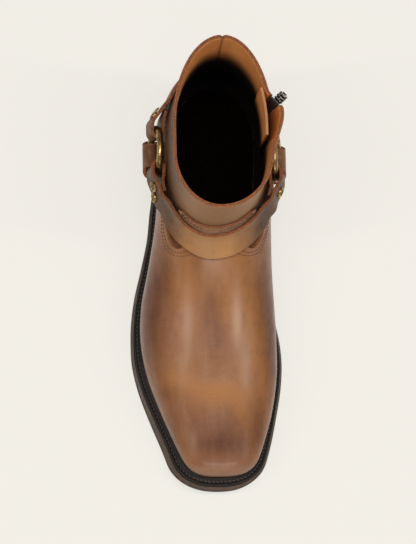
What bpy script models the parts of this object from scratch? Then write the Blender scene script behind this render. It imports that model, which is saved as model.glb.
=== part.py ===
"""Harness boot for the right foot: welted sole, stacked heel, zipped shaft and a three-way harness on two rings.

Sizes are in millimetres and become metres where a mesh is made. The origin is the centre of the heel on the floor,
+Y points to the toe, +X to the outer side of the foot and +Z up.
"""

import math

import bmesh
import bpy
import numpy as np

MM = 0.001
GAP = 0.3

# Driving sizes
TOE_TIP = 267.0
HEEL_TIP = -38.5
BREAST = 38.0
BALL_START, BALL_END = 125.0, 187.0
TOE_SPRING = 9.0
HEEL_BACK, HEEL_BREAST = 33.0, 31.0
TOP_PIECE = 6.0
OUTSOLE = 6.0
WELT = 3.6
INSOLE = 3.0
WALL = 2.4
VAMP_IN, VAMP_OUT = 0.3, 2.0
STRAP = 2.4
COLUMNS = 27

# Places of the harness and the zip
RING_WIRE = 2.4
RING_RADIUS = 16.6
RING_HEIGHT = 84.0
RING_TILT = math.radians(10.5)
RING_PLAY = 0.5
RINGS = {"lateral": (1, 44.8, 27.0), "medial": (-1, 42.8, 31.0)}
# How far beyond the wire a strap has come to lie on the boot, and over how far it steps off its own turned end
SETTLE = 13.0
STEP_DOWN = 7.0
# How far the straps lie off the wall: over the vamp's edge, on the bare wall, and beside the ring on the way down
STRAP_LIFT, CLOSE, DOWN = 2.8, 0.8, 2.2
ZIP_TOP, ZIP_FOOT = (18.0, 195.0), (4.0, 60.0)
ZIP_SLOT = 7.0


def table(names, rows):
    """A small table with named columns."""
    return dict(zip(names.split(), (np.array(column, float) for column in zip(*rows))))


# The foot from above: half breadths of the wall, and how far it draws in above the welt
FOOT = table("y outer inner tuck_outer tuck_inner", [
    (-40, 33.0, 32.0, 2.5, 2.5),
    (0, 36.5, 35.0, 2.5, 2.5),
    (38, 40.0, 37.0, 2.0, 5.0),
    (75, 42.8, 38.5, 1.5, 8.5),
    (105, 47.8, 39.5, 1.5, 6.0),
    (130, 52.8, 41.0, 2.0, 3.0),
    (157, 53.8, 42.4, 2.3, 2.3),
    (185, 48.8, 42.0, 2.3, 2.3),
    (210, 39.8, 38.2, 2.3, 2.3),
    (232, 30.6, 32.2, 2.3, 2.3),
    (248, 23.5, 27.0, 2.3, 2.3),
    (262, 17.5, 22.0, 2.3, 2.3),
])

# The shaft: half breadths of the wall at each height
SHAFT = table("z outer inner", [
    (40, 39.5, 38.0),
    (60, 39.0, 37.5),
    (80, 37.8, 36.4),
    (100, 36.8, 34.6),
    (125, 36.3, 33.0),
    (160, 36.7, 31.8),
    (200, 37.2, 31.0),
])

# One row for each section of the last, from the sole's edge up to the collar.
# heel and toe are where the section meets the back line and the front line of the boot,
# front and back are the depths of its rounding there, and square is how boxy the front is.
SECTIONS = table("heel_y heel_z toe_y toe_z front back square", [
    (-33.2, 39.2, 252.6, 12.7, 13, 38, 3.0),
    (-33.6, 43.1, 252.9, 16.6, 13, 38, 3.0),
    (-36.2, 50.0, 255.2, 23.0, 13, 39, 3.0),
    (-37.6, 57.0, 253.8, 30.0, 14, 40, 3.0),
    (-38.0, 64.0, 247.8, 36.4, 15, 41, 3.0),
    (-37.6, 71.0, 236.0, 41.6, 18, 42, 2.9),
    (-36.6, 78.0, 216.0, 48.0, 23, 44, 2.7),
    (-35.2, 86.0, 189.0, 55.0, 29, 46, 2.5),
    (-33.6, 94.5, 160.0, 61.5, 34, 48, 2.35),
    (-32.0, 104.0, 133.0, 68.6, 37, 50, 2.2),
    (-30.7, 115.0, 112.0, 77.8, 40, 53, 2.1),
    (-29.8, 127.0, 98.6, 88.0, 43, 56, 2.0),
    (-29.1, 140.0, 90.2, 99.5, 45, 59, 2.0),
    (-28.6, 156.0, 87.4, 115.0, 44, 62, 2.0),
    (-28.3, 174.0, 88.8, 152.0, 41, 64, 2.0),
    (-28.3, 194.0, 92.2, 195.0, 38, 64, 2.0),
])
LAST_ROW = len(SECTIONS["toe_y"]) - 1
INNER_ROWS = [0, 1, 3, 5, 7, 9, 10, 11, 12, 13, LAST_ROW]
VAMP_ROWS = list(range(1, 15))

# The middle line of the boot seen from above, along the front line
RIDGE = table("y x", [(-40, 2.0), (0, 2.5), (50, 3.5), (90, 5.0), (125, 4.0), (165, 2.0), (210, 0.0), (262, -1.5)])

# The sole from above: the outsole's edge and the welt's edge
SOLE = table("y outer inner welt_outer welt_inner", [
    (-40, 38.0, 37.0, 36.8, 36.0),
    (0, 39.5, 38.0, 38.2, 37.0),
    (38, 44.2, 36.6, 42.6, 35.4),
    (60, 47.6, 34.6, 45.8, 33.4),
    (80, 49.8, 34.0, 47.9, 32.8),
    (100, 54.2, 36.4, 52.2, 35.0),
    (122, 59.5, 42.0, 57.5, 40.4),
    (145, 62.3, 47.2, 60.3, 45.5),
    (157, 62.5, 49.4, 60.5, 47.6),
    (170, 61.9, 50.4, 59.7, 48.6),
    (190, 57.7, 49.2, 54.9, 47.4),
    (212, 50.0, 45.2, 46.3, 43.4),
    (235, 40.8, 39.9, 36.6, 38.0),
    (250, 35.4, 35.2, 31.2, 33.2),
    (268, 29.0, 28.4, 25.0, 26.0),
])
SOLE_ENDS = {"back": (HEEL_TIP, 37.0, 2.15), "front": (TOE_TIP, 22.0, 2.4)}
WELT_ENDS = {"back": (HEEL_TIP + 1.2, 36.0, 2.15), "front": (TOE_TIP - 3.3, 20.0, 2.5)}

# The vamp's edge in side view: over the tongue, down under the front strap, round the scallop,
# back under the strap to the ring and down to the sole, then round the whole forefoot
VAMP_EDGE = [
    (112, 111.5), (80, 111.0), (76.2, 109.2), (74.8, 105.5), (76.5, 101), (86, 91.5), (94, 85.0), (97.2, 80.6),
    (97.0, 76.8), (93.5, 74.6), (87, 74.0), (80, 75.0), (72, 77.6), (64, 77.0), (56, 73.0), (47, 69.0), (38, 63.0),
    (34, 54.0),
    (33, 0), (33, -30), (300, -30), (300, 111.5),
]


def smooth(t):
    """Eases from 0 to 1."""
    t = np.clip(t, 0.0, 1.0)
    return t * t * (3 - 2 * t)


def read(rows, name, at, key="y"):
    """Reads a column of a table as a smooth curve through its rows."""
    x, v = rows[key], rows[name]
    slope = np.gradient(v, x)
    at = np.clip(at, x[0], x[-1])
    i = np.clip(np.searchsorted(x, at, side="right") - 1, 0, len(x) - 2)
    step = x[i + 1] - x[i]
    t = (at - x[i]) / step
    return ((1 + 2 * t) * (1 - t) ** 2 * v[i] + t * (1 - t) ** 2 * step * slope[i]
            + t * t * (3 - 2 * t) * v[i + 1] - t * t * (1 - t) * step * slope[i + 1])


def sole_under(y):
    """Height of the outsole's underside: heel seat, shank, flat forepart, toe spring."""
    y = np.asarray(y, float)
    seat = HEEL_BREAST + (HEEL_BACK - HEEL_BREAST) * (BREAST - y) / (BREAST - HEEL_TIP)
    t = np.clip((y - BREAST) / (BALL_START - BREAST), 0, 1)
    drop = -0.10 * (BALL_START - BREAST) * t * (1 - t) ** 2
    shank = HEEL_BREAST * (1 + 2 * t) * (1 - t) ** 2 + drop
    spring = TOE_SPRING * (np.clip(y - BALL_END, 0, None) / (TOE_TIP - BALL_END)) ** 2
    return np.where(y < BREAST, seat, np.where(y < BALL_START, shank, spring))


def seat_height(y):
    """Height of the outsole's top, which everything inside the welt stands on."""
    return sole_under(y) + OUTSOLE


def stations(back_tip, front_tip):
    """Places along the foot that every piece on the sole shares, spread to its own two tips."""
    s = (1 - np.cos(np.linspace(0, math.pi, COLUMNS))) / 2
    back, front = SECTIONS["heel_y"][0], SECTIONS["toe_y"][0]
    y = back + (front - back) * s
    y[np.abs(y - BREAST).argmin()] = BREAST
    back_move, front_move = back_tip - back, front_tip - front
    return y + back_move * (1 - smooth((y - back) / 35)) + front_move * smooth((y - front + 45) / 45)


def line_of(side, per_section=10):
    """The back or front line of the boot in side view, with the rounding at each of its points."""
    rows = dict(SECTIONS, u=np.arange(LAST_ROW + 1, dtype=float))
    u = np.linspace(0, LAST_ROW, LAST_ROW * per_section + 1)
    points = np.stack([read(rows, side + "_y", u, "u"), read(rows, side + "_z", u, "u")], 1)
    depth = read(rows, "front" if side == "toe" else "back", u, "u")
    square = read(rows, "square", u, "u") if side == "toe" else np.full(len(u), 2.0)
    below = points[0] + [0, -25]
    above = points[-1] + (points[-1] - points[-2]) * 8
    return {
        "points": np.vstack([below, points, above]),
        "depth": np.concatenate([depth[:1], depth, depth[-1:]]),
        "square": np.concatenate([square[:1], square, square[-1:]]),
        "inside": -1.0 if side == "heel" else 1.0,
    }


LINES = {"heel": line_of("heel"), "toe": line_of("toe")}


def depth_behind(line, y, z):
    """How far a point of the side view lies inside a line, with the line's rounding nearest to it."""
    p = np.stack([np.ravel(y), np.ravel(z)], 1)[:, None, :]
    a = line["points"][:-1][None]
    along = (line["points"][1:] - line["points"][:-1])[None]
    t = np.clip(((p - a) * along).sum(2) / (along ** 2).sum(2), 0, 1)
    away = p - (a + t[..., None] * along)
    distance = np.hypot(away[..., 0], away[..., 1])
    k = distance.argmin(1)
    row = np.arange(len(k))
    tk = t[row, k]
    turn = along[0, k, 0] * away[row, k, 1] - along[0, k, 1] * away[row, k, 0]
    sign = np.where(turn * line["inside"] >= 0, 1.0, -1.0)
    shape = np.shape(y)
    depth = line["depth"][k] * (1 - tk) + line["depth"][k + 1] * tk
    square = line["square"][k] * (1 - tk) + line["square"][k + 1] * tk
    return (sign * distance[row, k]).reshape(shape), depth.reshape(shape), square.reshape(shape)


def rounding(d, depth, square):
    """0 on the boot's outline, 1 once the section has turned to face sideways."""
    t = 1 - np.clip(d / depth, 0, 1)
    return (1 - t ** square) ** (1 / square)


def zip_y(z):
    """Where the zip runs at a height."""
    t = (ZIP_TOP[1] - z) / (ZIP_TOP[1] - ZIP_FOOT[1])
    return ZIP_TOP[0] + (ZIP_FOOT[0] - ZIP_TOP[0]) * t


def wall_x(side, y, z, out=0.0, flare=True):
    """X of the upper's wall at a point of the side view, moved outwards by out."""
    y, z = np.broadcast_arrays(np.asarray(y, float), np.asarray(z, float))
    name = "outer" if side > 0 else "inner"
    on_shaft = smooth((z - 45) / 55)
    breadth = read(FOOT, name, y) * (1 - on_shaft) + read(SHAFT, name, z, "z") * on_shaft
    rise = z - seat_height(y)
    breadth = breadth - read(FOOT, "tuck_" + name, y) * (1 - smooth((rise - WELT - GAP) / 17))
    if side < 0 and flare:
        ahead = y - zip_y(z)
        lip = smooth((ahead + 8) / 14) * (1 - smooth((ahead - 6) / 36))
        breadth = breadth + 8 * lip * smooth((z - 115) / 80)
    front, front_depth, square = depth_behind(LINES["toe"], y, z)
    back, back_depth, round_back = depth_behind(LINES["heel"], y, z)
    r = rounding(front + out, front_depth + out, square) * rounding(back + out, back_depth + out, round_back)
    ridge = read(RIDGE, "x", y)
    return ridge + (side * (breadth + out) - ridge) * r


def line_point(side, row, out):
    """A section's end on the back or front line, moved outwards."""
    points = LINES[side]["points"]
    i = 1 + row * 10
    along = points[i + 1] - points[i - 1] if i > 1 else points[2] - points[1]
    normal = np.array([along[1], -along[0]]) / np.hypot(*along)
    if side == "heel":
        normal = -normal
    return points[i] + normal * out


def section(row, out, flare=True):
    """One ring of the wall: from the back line along the outer side to the front line and back."""
    heel, toe = line_point("heel", row, out), line_point("toe", row, out)
    if row <= 1:
        y = stations(heel[0], toe[0])
        z = seat_height(y) + (GAP, WELT + 2 * GAP)[row]
    else:
        s = (1 - np.cos(np.linspace(0, math.pi, COLUMNS))) / 2
        y = heel[0] + (toe[0] - heel[0]) * s
        chord = SECTIONS["heel_z"][0] + (SECTIONS["toe_z"][0] - SECTIONS["heel_z"][0]) * s
        sag = seat_height(y) + GAP - chord
        z = heel[1] + (toe[1] - heel[1]) * s + sag * max(0.0, 1 - (row - 1) / 9) ** 2
    if row == LAST_ROW:
        z = SECTIONS["heel_z"][row] + (SECTIONS["toe_z"][row] - SECTIONS["heel_z"][row]) * s
    outer = np.stack([wall_x(1, y, z, out), y, z], 1)
    inner = np.stack([wall_x(-1, y, z, out, flare), y, z], 1)
    ridge = read(RIDGE, "x", y[[0, -1]])
    outer[[0, -1], 0] = ridge
    return np.vstack([outer, inner[-2:0:-1]])


def finish(name, verts, faces, colour, rough=0.55, metal=0.0, angle=38, origin=(0, 0, 0)):
    """Makes an object from points in millimetres, with its own material and its origin at a point."""
    mesh = bpy.data.meshes.new(name)
    local = (np.asarray(verts, float) - origin) * MM
    mesh.from_pydata([tuple(map(float, v)) for v in local], [], [tuple(map(int, f)) for f in faces])
    bm = bmesh.new()
    bm.from_mesh(mesh)
    bmesh.ops.recalc_face_normals(bm, faces=bm.faces)
    bm.to_mesh(mesh)
    bm.free()
    mesh.shade_smooth()
    mesh.set_sharp_from_angle(angle=math.radians(angle))
    obj = bpy.data.objects.new(name, mesh)
    obj.location = [MM * float(c) for c in origin]
    bpy.context.scene.collection.objects.link(obj)
    material = bpy.data.materials.new(name)
    material.use_nodes = True
    shader = material.node_tree.nodes["Principled BSDF"]
    shader.inputs["Base Color"].default_value = (*colour, 1)
    shader.inputs["Roughness"].default_value = rough
    shader.inputs["Metallic"].default_value = metal
    mesh.materials.append(material)
    return obj


def between(a, b, count, flip=False):
    """Triangles that join two rings of points, given where each ring starts. flip turns the diagonals."""
    faces = []
    for i in range(count):
        j = (i + 1) % count
        if flip:
            faces += [(a + i, a + j, b + i), (a + j, b + j, b + i)]
        else:
            faces += [(a + i, a + j, b + j), (a + i, b + j, b + i)]
    return faces


def tube_of(rings, rising=1000):
    """A wall without ends that runs through the rings and closes on the first.

    The diagonals turn over after the rising rings, so that walls facing each other are split alike.
    """
    count = len(rings[0])
    faces = []
    for k in range(len(rings)):
        faces += between(k * count, ((k + 1) % len(rings)) * count, count, k >= rising)
    return np.vstack(rings), faces


def rungs(start, count, tipped):
    """Faces across a ring whose two sides stand at the same places along the foot."""
    last = count - 1
    if tipped:
        half = count // 2
        faces = [(start, start + 1, start + last), (start + half - 1, start + half, start + half + 1)]
        pairs = range(1, half - 1)
    else:
        half = (count - 1) // 2
        faces = [(start, start + 1, start + last)]
        pairs = range(1, half)
    return faces + [(start + i, start + i + 1, start + count - i - 1, start + count - i) for i in pairs]


def slab(rings, tipped=True):
    """A solid through rings, closed across the first and the last."""
    count = len(rings[0])
    faces = rungs(0, count, tipped) + rungs((len(rings) - 1) * count, count, tipped)
    for k in range(len(rings) - 1):
        faces += between(k * count, (k + 1) * count, count)
    return np.vstack(rings), faces


def sole_x(y, inset, names, ends):
    """X of the sole's outer and inner edge, drawn in by inset."""
    back_tip, back_depth, back_square = ends["back"]
    front_tip, front_depth, front_square = ends["front"]
    r = (rounding(y - back_tip - inset, back_depth, back_square)
         * rounding(front_tip - inset - y, front_depth, front_square))
    middle = read(RIDGE, "x", y) * 0.5
    return (middle + (read(SOLE, names[0], y) - inset - middle) * r,
            middle + (-read(SOLE, names[1], y) + inset - middle) * r)


def sole_ring(inset, height, names=("outer", "inner"), ends=SOLE_ENDS):
    """A ring round the sole. height gives Z from Y."""
    y = stations(ends["back"][0] + inset, ends["front"][0] - inset)
    outer, inner = sole_x(y, inset, names, ends)
    z = height(y)
    return np.vstack([np.stack([outer, y, z], 1), np.stack([inner, y, z], 1)[-2:0:-1]])


def outsole():
    # The edge stands out below, with a thin groove under the welt
    steps = [(1.6, 0.0), (0.0, 1.0), (0.0, 3.9), (0.9, 4.6), (0.9, 5.2), (0.5, OUTSOLE)]
    rings = [sole_ring(inset, lambda y, up=up: sole_under(y) + up) for inset, up in steps]
    finish("outsole", *slab(rings), (0.075, 0.055, 0.045), 0.55)


def welt():
    top, bottom = WELT + GAP, GAP
    wall, wall_low = section(1, 0.4), section(0, 0.4)

    def edge(inset, up):
        return sole_ring(inset, lambda y: seat_height(y) + up, ("welt_outer", "welt_inner"), WELT_ENDS)

    inner_top = wall.copy()
    inner_top[:, 2] = seat_height(inner_top[:, 1]) + top
    inner_low = wall_low.copy()
    inner_low[:, 2] = seat_height(inner_low[:, 1]) + bottom
    rings = [inner_low, edge(0.3, bottom), edge(0.0, bottom + 0.7), edge(0.0, top - 0.9), edge(0.8, top), inner_top]
    finish("welt", *tube_of(rings), (0.035, 0.024, 0.018), 0.6)


def insole():
    low = section(0, -WALL - 0.4)
    rings = []
    for inset, up in ((0.0, GAP), (0.0, GAP + INSOLE)):
        ring = low.copy()
        ring[:, 2] = seat_height(ring[:, 1]) + up
        rings.append(ring)
    finish("insole", *slab(rings), (0.28, 0.16, 0.08), 0.8)


def heel_ring(inset, height, columns=15):
    s = np.linspace(0, 1, columns)
    start, stop = HEEL_TIP + inset, BREAST - 0.4 * inset
    y = start + (stop - start) * (1 - np.cos(s * math.pi / 2))
    outer, inner = sole_x(y, inset, ("outer", "inner"), SOLE_ENDS)
    z = height(y)
    outer, inner = np.stack([outer, y, z], 1), np.stack([inner, y, z], 1)
    return np.vstack([outer, inner[:0:-1]])


def heel():
    """Stacked lifts, drawn in towards the floor, with a groove at each joint, and the wearing lift below."""
    taper, lifts, groove, groove_half = 3.4, 4, 0.5, 0.35
    low = TOP_PIECE + GAP
    rings = []

    def level(part, shift=0.0):
        return lambda y: low + (sole_under(y) - GAP - low) * part + shift

    for k in range(lifts):
        bottom, top = k / lifts, (k + 1) / lifts
        below = groove_half if k else 0.0
        above = -groove_half if k < lifts - 1 else 0.0
        rings.append(heel_ring(taper * (1 - bottom), level(bottom, below)))
        rings.append(heel_ring(taper * (1 - top), level(top, above)))
        if k < lifts - 1:
            rings.append(heel_ring(taper * (1 - top) + groove, level(top, 0.0)))
    finish("heel_block", *slab(rings, False), (0.10, 0.055, 0.03), 0.5)
    piece = [(taper + 0.9, 0.0), (taper + 0.2, 0.7), (taper + 0.1, TOP_PIECE)]
    rings = [heel_ring(inset, lambda y, up=up: np.full_like(y, up)) for inset, up in piece]
    finish("heel_top_piece", *slab(rings, False), (0.03, 0.028, 0.027), 0.7)


def shell(name, rows_out, out, rows_in, inside, colour, rough):
    """A wall between two forms of the last, open above and below."""
    rings = [section(row, out) for row in rows_out] + [section(row, inside) for row in reversed(rows_in)]
    return finish(name, *tube_of(rings, len(rows_out)), colour, rough)


def cutter(name, outline, x_from, x_to):
    """A prism through the boot from side to side, drawn in side view."""
    count = len(outline)
    verts = [(x_from, y, z) for y, z in outline] + [(x_to, y, z) for y, z in outline]
    faces = [tuple(range(count)), tuple(range(count, 2 * count))] + between(0, count, count)
    obj = finish(name, verts, faces, (1, 0, 0))
    obj.hide_render = True
    obj.display_type = "WIRE"
    return obj


def cut(obj, tool, operation):
    step = obj.modifiers.new(operation.title(), "BOOLEAN")
    step.operation = operation
    step.solver = "EXACT"
    step.object = tool


def upper():
    wall = shell("upper", range(LAST_ROW + 1), 0.0, INNER_ROWS, -WALL, (0.30, 0.16, 0.085), 0.5)
    half = ZIP_SLOT / 2
    top, foot = ZIP_TOP[1] + 10, ZIP_FOOT[1]
    slot = [(zip_y(top) - half, top), (zip_y(foot) - half, foot), (zip_y(foot) - 1, foot - 3),
            (zip_y(foot) + 1, foot - 3), (zip_y(foot) + half, foot), (zip_y(top) + half, top)]
    cut(wall, cutter("zip_slot_cutter", slot, -70, -8), "DIFFERENCE")


def vamp():
    overlay = shell("vamp", VAMP_ROWS, VAMP_OUT, VAMP_ROWS, VAMP_IN, (0.33, 0.18, 0.09), 0.45)
    cut(overlay, cutter("vamp_edge_cutter", VAMP_EDGE, -90, 90), "INTERSECT")


def normals(grid):
    """Unit normals of a grid of points."""
    normal = np.cross(np.gradient(grid, axis=0), np.gradient(grid, axis=1))
    return normal / np.linalg.norm(normal, axis=2, keepdims=True)


def strip(name, middle, thickness, colour, rough=0.5, metal=0.0):
    """A solid band round a grid of middle points: middle[station][across]."""
    middle = np.asarray(middle)
    normal = normals(middle)
    top, low = middle + normal * thickness / 2, middle - normal * thickness / 2
    rings = [np.vstack([a, b[::-1]]) for a, b in zip(top, low)]
    count = len(rings[0])
    faces = []
    for k in range(len(rings) - 1):
        faces += between(k * count, (k + 1) * count, count)
    wide = middle.shape[1]
    for start in (0, (len(rings) - 1) * count):
        last = start + count - 1
        faces += [(start + i, start + i + 1, last - i - 1, last - i) for i in range(wide - 1)]
    return finish(name, np.vstack(rings), faces, colour, rough, metal)


class Ring:
    """A harness ring's place and the way that a strap folds round it."""

    def __init__(self, name):
        self.side, self.x, self.y = RINGS[name]
        self.z = RING_HEIGHT

    def place(self, a, b, c):
        """A point from the ring's own axes: a along the foot, b up its plane, c out of it."""
        tilt = RING_TILT
        x = self.x - b * math.sin(tilt) + c * math.cos(tilt)
        return np.stack(np.broadcast_arrays(self.side * x, self.y + a, self.z + b * math.cos(tilt)
                                            + c * math.sin(tilt)), -1)

    def fold(self, angle, h, steps=6):
        """The bend round the wire, from the outer layer to the inner one, at h across the strap."""
        bend = np.linspace(math.pi / 2, 3 * math.pi / 2, steps + 1)
        wire = math.sqrt(RING_RADIUS ** 2 - h ** 2)
        lift = RING_WIRE + RING_PLAY + STRAP / 2
        reach = lift * RING_RADIUS / wire
        t = wire + reach * np.cos(bend)
        return self.place(t * math.cos(angle) - h * math.sin(angle), t * math.sin(angle) + h * math.cos(angle),
                          lift * np.sin(bend))

    def layer(self, angle, t, h, level, outer):
        """A point of the strap beyond the wire: leaves the ring's plane and comes to lie on the boot."""
        lift = (RING_WIRE + RING_PLAY + STRAP / 2) * (1 if outer else -1)
        a = t * math.cos(angle) - h * math.sin(angle)
        b = t * math.sin(angle) + h * math.cos(angle)
        p = self.place(a, b, lift)
        lie = wall_x(self.side, p[..., 1], p[..., 2], level)
        away = smooth((t - RING_RADIUS - RING_WIRE) / SETTLE)
        x = p[..., 0] * (1 - away) + lie * away
        p[..., 0] = self.side * np.maximum(self.side * x, self.side * lie)
        return p


ACROSS = np.linspace(-1, 1, 5)
LEATHER = (0.27, 0.14, 0.08)
BRASS = (0.62, 0.43, 0.18)
GUNMETAL = (0.16, 0.14, 0.12)


class Strap:
    """One harness strap where it leaves a ring: its direction, half width and the length that is turned back.

    near and lift are its clearance from the wall, beside the ring and further along.
    """

    def __init__(self, ring, angle, half, turned, near, lift):
        self.ring, self.angle, self.half, self.turned = ring, angle, half, turned
        self.near, self.lift = near, lift

    def lie(self, t):
        """How far off the wall a single layer's middle lies: close beside the ring, higher over the vamp's edge."""
        return STRAP / 2 + self.near + (self.lift - self.near) * smooth((t - RING_RADIUS - 2) / 10)

    def level(self, t):
        """How far off the wall the outer layer lies: over its own end first, then on the boot."""
        end = RING_RADIUS + self.turned
        return self.lie(t) + (STRAP + GAP) * (1 - smooth((t - end) / STEP_DOWN))

    def outer(self, t, u):
        return self.ring.layer(self.angle, t, u * self.half(t), float(self.level(t)), True)

    def side_view(self, t, u):
        h = u * self.half(t)
        return (self.ring.y + t * math.cos(self.angle) - h * math.sin(self.angle),
                self.ring.z + t * math.sin(self.angle) + h * math.cos(self.angle))

    def far_end(self, line, u):
        """How far the strap runs at u across it before it meets the boot's front or back line."""
        near, far = 20.0, 110.0
        for _ in range(40):
            t = (near + far) / 2
            y, z = self.side_view(t, u)
            inside = float(depth_behind(LINES[line], np.array([y]), np.array([z]))[0][0])
            near, far = (t, far) if inside > -self.lie(far) else (near, t)
        return near

    def folded(self, u, outer_t, steps=6):
        """From the end of the turned layer, round the wire and out along the outer layer."""
        wire = math.sqrt(RING_RADIUS ** 2 - (u * self.half(0)) ** 2)
        turned = [self.ring.layer(self.angle, t, u * self.half(t), float(self.lie(t)), False)
                  for t in (wire + self.turned * part for part in (1.0, 0.66, 0.33))]
        bend = self.ring.fold(self.angle, u * self.half(0), steps)[::-1]
        return np.vstack([turned, bend, [self.outer(t, u) for t in outer_t(wire)]])

    def to_line(self, line, steps=16):
        """The strap from its turned end to the boot's front or back line, as rows along and points across."""
        rise = np.sin(np.linspace(0, math.pi / 2, steps + 1))[1:]
        columns = []
        for u in ACROSS:
            stop = self.far_end(line, u)
            column = self.folded(u, lambda wire: wire + (stop - wire) * rise)
            column[-1, 0] = read(RIDGE, "x", column[-1, 1])
            columns.append(column)
        return np.stack(columns, 1)

    def rivet_seat(self, t, u):
        """A point just over the strap's outer face, clear of its bend under the rivet, and the way it faces."""
        near = np.array([[self.outer(t + a, u + b) for b in (-0.3, 0.3)] for a in (-4, 4)])
        normal = normals(near)[0, 0]
        if normal[0] * self.ring.side < 0:
            normal = -normal
        here = self.outer(t, u)
        bend = max(0.0, float(((near - here) @ normal).max()))
        return here + normal * (STRAP / 2 + GAP + bend), normal


def front_half(t):
    """Half the front strap's width in side view: narrow at the ring, widest at the rivets."""
    return 8.8 + 3.2 * smooth((t - RING_RADIUS) / 14) - 2.8 * smooth((t - 45) / 30)


def back_half(t):
    return 8.8 + 3.2 * smooth((t - RING_RADIUS) / 14)


def bottom_half(t):
    return 8.5 + 5.5 * smooth((t - RING_RADIUS + 2) / 12)


def lathe(name, profile, seat, facing, colour, segments=12):
    """A round piece from a profile of radius and height, closed at both ends on its axis."""
    facing = facing / np.linalg.norm(facing)
    side = np.cross(facing, (0, 1, 0))
    side /= np.linalg.norm(side)
    other = np.cross(facing, side)
    rings, centres = [], []
    for radius, height in profile:
        if radius == 0:
            centres.append(seat + facing * height)
            continue
        turn = np.linspace(0, 2 * math.pi, segments, endpoint=False)
        circle = np.cos(turn)[:, None] * side + np.sin(turn)[:, None] * other
        rings.append(seat + facing * height + radius * circle)
    verts = np.vstack(rings + [centres])
    faces = []
    for k in range(len(rings) - 1):
        faces += between(k * segments, (k + 1) * segments, segments)
    first, last = len(rings) * segments, len(rings) * segments + 1
    top = (len(rings) - 1) * segments
    faces += [(first, (i + 1) % segments, i) for i in range(segments)]
    faces += [(last, top + i, top + (i + 1) % segments) for i in range(segments)]
    return finish(name, verts, faces, colour, 0.35, 1.0)


RIVET = [(0, 0), (4.1, 0), (4.1, 0.5), (3.2, 1.5), (2.1, 1.5), (1.5, 0.7), (0, 0.7)]


def ring_solid(name, ring, around=28, section_sides=8):
    """The brass ring, its origin on the axis that it turns about."""
    verts, faces = [], []
    for i in range(around):
        a = 2 * math.pi * i / around
        for j in range(section_sides):
            b = 2 * math.pi * j / section_sides
            r = RING_RADIUS + RING_WIRE * math.cos(b)
            verts.append(ring.place(r * math.cos(a), r * math.sin(a), RING_WIRE * math.sin(b)))
    for i in range(around):
        faces += between(i * section_sides, ((i + 1) % around) * section_sides, section_sides)
    finish(name, verts, faces, BRASS, 0.3, 1.0, 60, ring.place(0.0, 0.0, 0.0))


def bottom_strap(name, strap, steps=6):
    """From the ring down to the welt."""
    ring = strap.ring
    columns = []
    for u in ACROSS:
        y = ring.y + u * strap.half(50)
        stop = (ring.z - seat_height(y) - WELT - 3 * GAP) / math.cos(RING_TILT)
        columns.append(strap.folded(u, lambda wire: np.linspace(wire, stop, steps + 1)[1:]))
    strip(name, np.stack(columns, 1), STRAP, LEATHER)


def harness():
    lateral, medial = Ring("lateral"), Ring("medial")
    front_y, front_rise = 101, 10
    front = {r: Strap(r, math.atan2(front_rise, front_y - r.y), front_half, 20, CLOSE, STRAP_LIFT)
             for r in (lateral, medial)}
    first, second = front[lateral].to_line("toe"), front[medial].to_line("toe")
    second[-1] = first[-1]
    strip("front_strap", np.vstack([first, second[-2::-1]]), STRAP, LEATHER)

    # Round the heel, and on the inner side only as far as the zip
    back = Strap(lateral, math.atan2(7, -64), back_half, 14.5, CLOSE, CLOSE)
    first = back.to_line("heel")
    rest = []
    for part in (1 - np.cos(np.linspace(0, math.pi / 2, 10)))[1:]:
        row = []
        for start in first[-1]:
            z = start[2] - 1.5 * part
            y = start[1] + (zip_y(z) - ZIP_SLOT / 2 - 5 - start[1]) * part
            row.append((float(wall_x(-1, y, z, STRAP / 2 + CLOSE)), y, z))
        rest.append(row)
    strip("back_strap", np.vstack([first, rest]), STRAP, LEATHER)

    down = -math.pi / 2
    bottom_strap("bottom_strap_lateral", Strap(lateral, down, bottom_half, 13, DOWN, STRAP_LIFT))
    bottom_strap("bottom_strap_medial", Strap(medial, down, bottom_half, 13, DOWN, STRAP_LIFT))
    ring_solid("ring_lateral", lateral)
    ring_solid("ring_medial", medial)
    places = [
        ("rivet_lateral_front_1", front[lateral], 27, 0.1),
        ("rivet_lateral_front_2", front[lateral], 32.5, -0.55),
        ("rivet_medial_front", front[medial], 26.5, -0.2),
        ("rivet_lateral_back_1", back, 25, -0.4),
        ("rivet_lateral_back_2", back, 28, 0.4),
    ]
    for name, strap, t, u in places:
        seat, facing = strap.rivet_seat(t, u)
        lathe(name, RIVET, seat, facing, BRASS)


def zip_grid(low, high, half, rows, level, across=3, flare=True):
    """Points along the zip on the inner side of the boot."""
    grid = []
    for z in np.linspace(low, high, rows):
        y = zip_y(z) + np.linspace(-half, half, across)
        grid.append(np.stack([wall_x(-1, y, np.full(across, z), level, flare), y, np.full(across, z)], 1))
    return np.array(grid)


def block(name, frame, low, high, colour=GUNMETAL, helper=False, origin=(0, 0, 0)):
    """A box in the axes of frame: its place, then across, up and outwards."""
    place, axes = frame
    corners = [place + axes.T @ np.array([x, y, z]) for z in (low[2], high[2]) for x, y in
               ((low[0], low[1]), (high[0], low[1]), (high[0], high[1]), (low[0], high[1]))]
    faces = [(0, 3, 2, 1), (4, 5, 6, 7), (0, 1, 5, 4), (1, 2, 6, 5), (2, 3, 7, 6), (3, 0, 4, 7)]
    obj = finish(name, corners, faces, colour, 0.4, 1.0, 38, origin)
    obj.hide_render = helper
    obj.display_type = "WIRE" if helper else "TEXTURED"
    return obj


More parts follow.
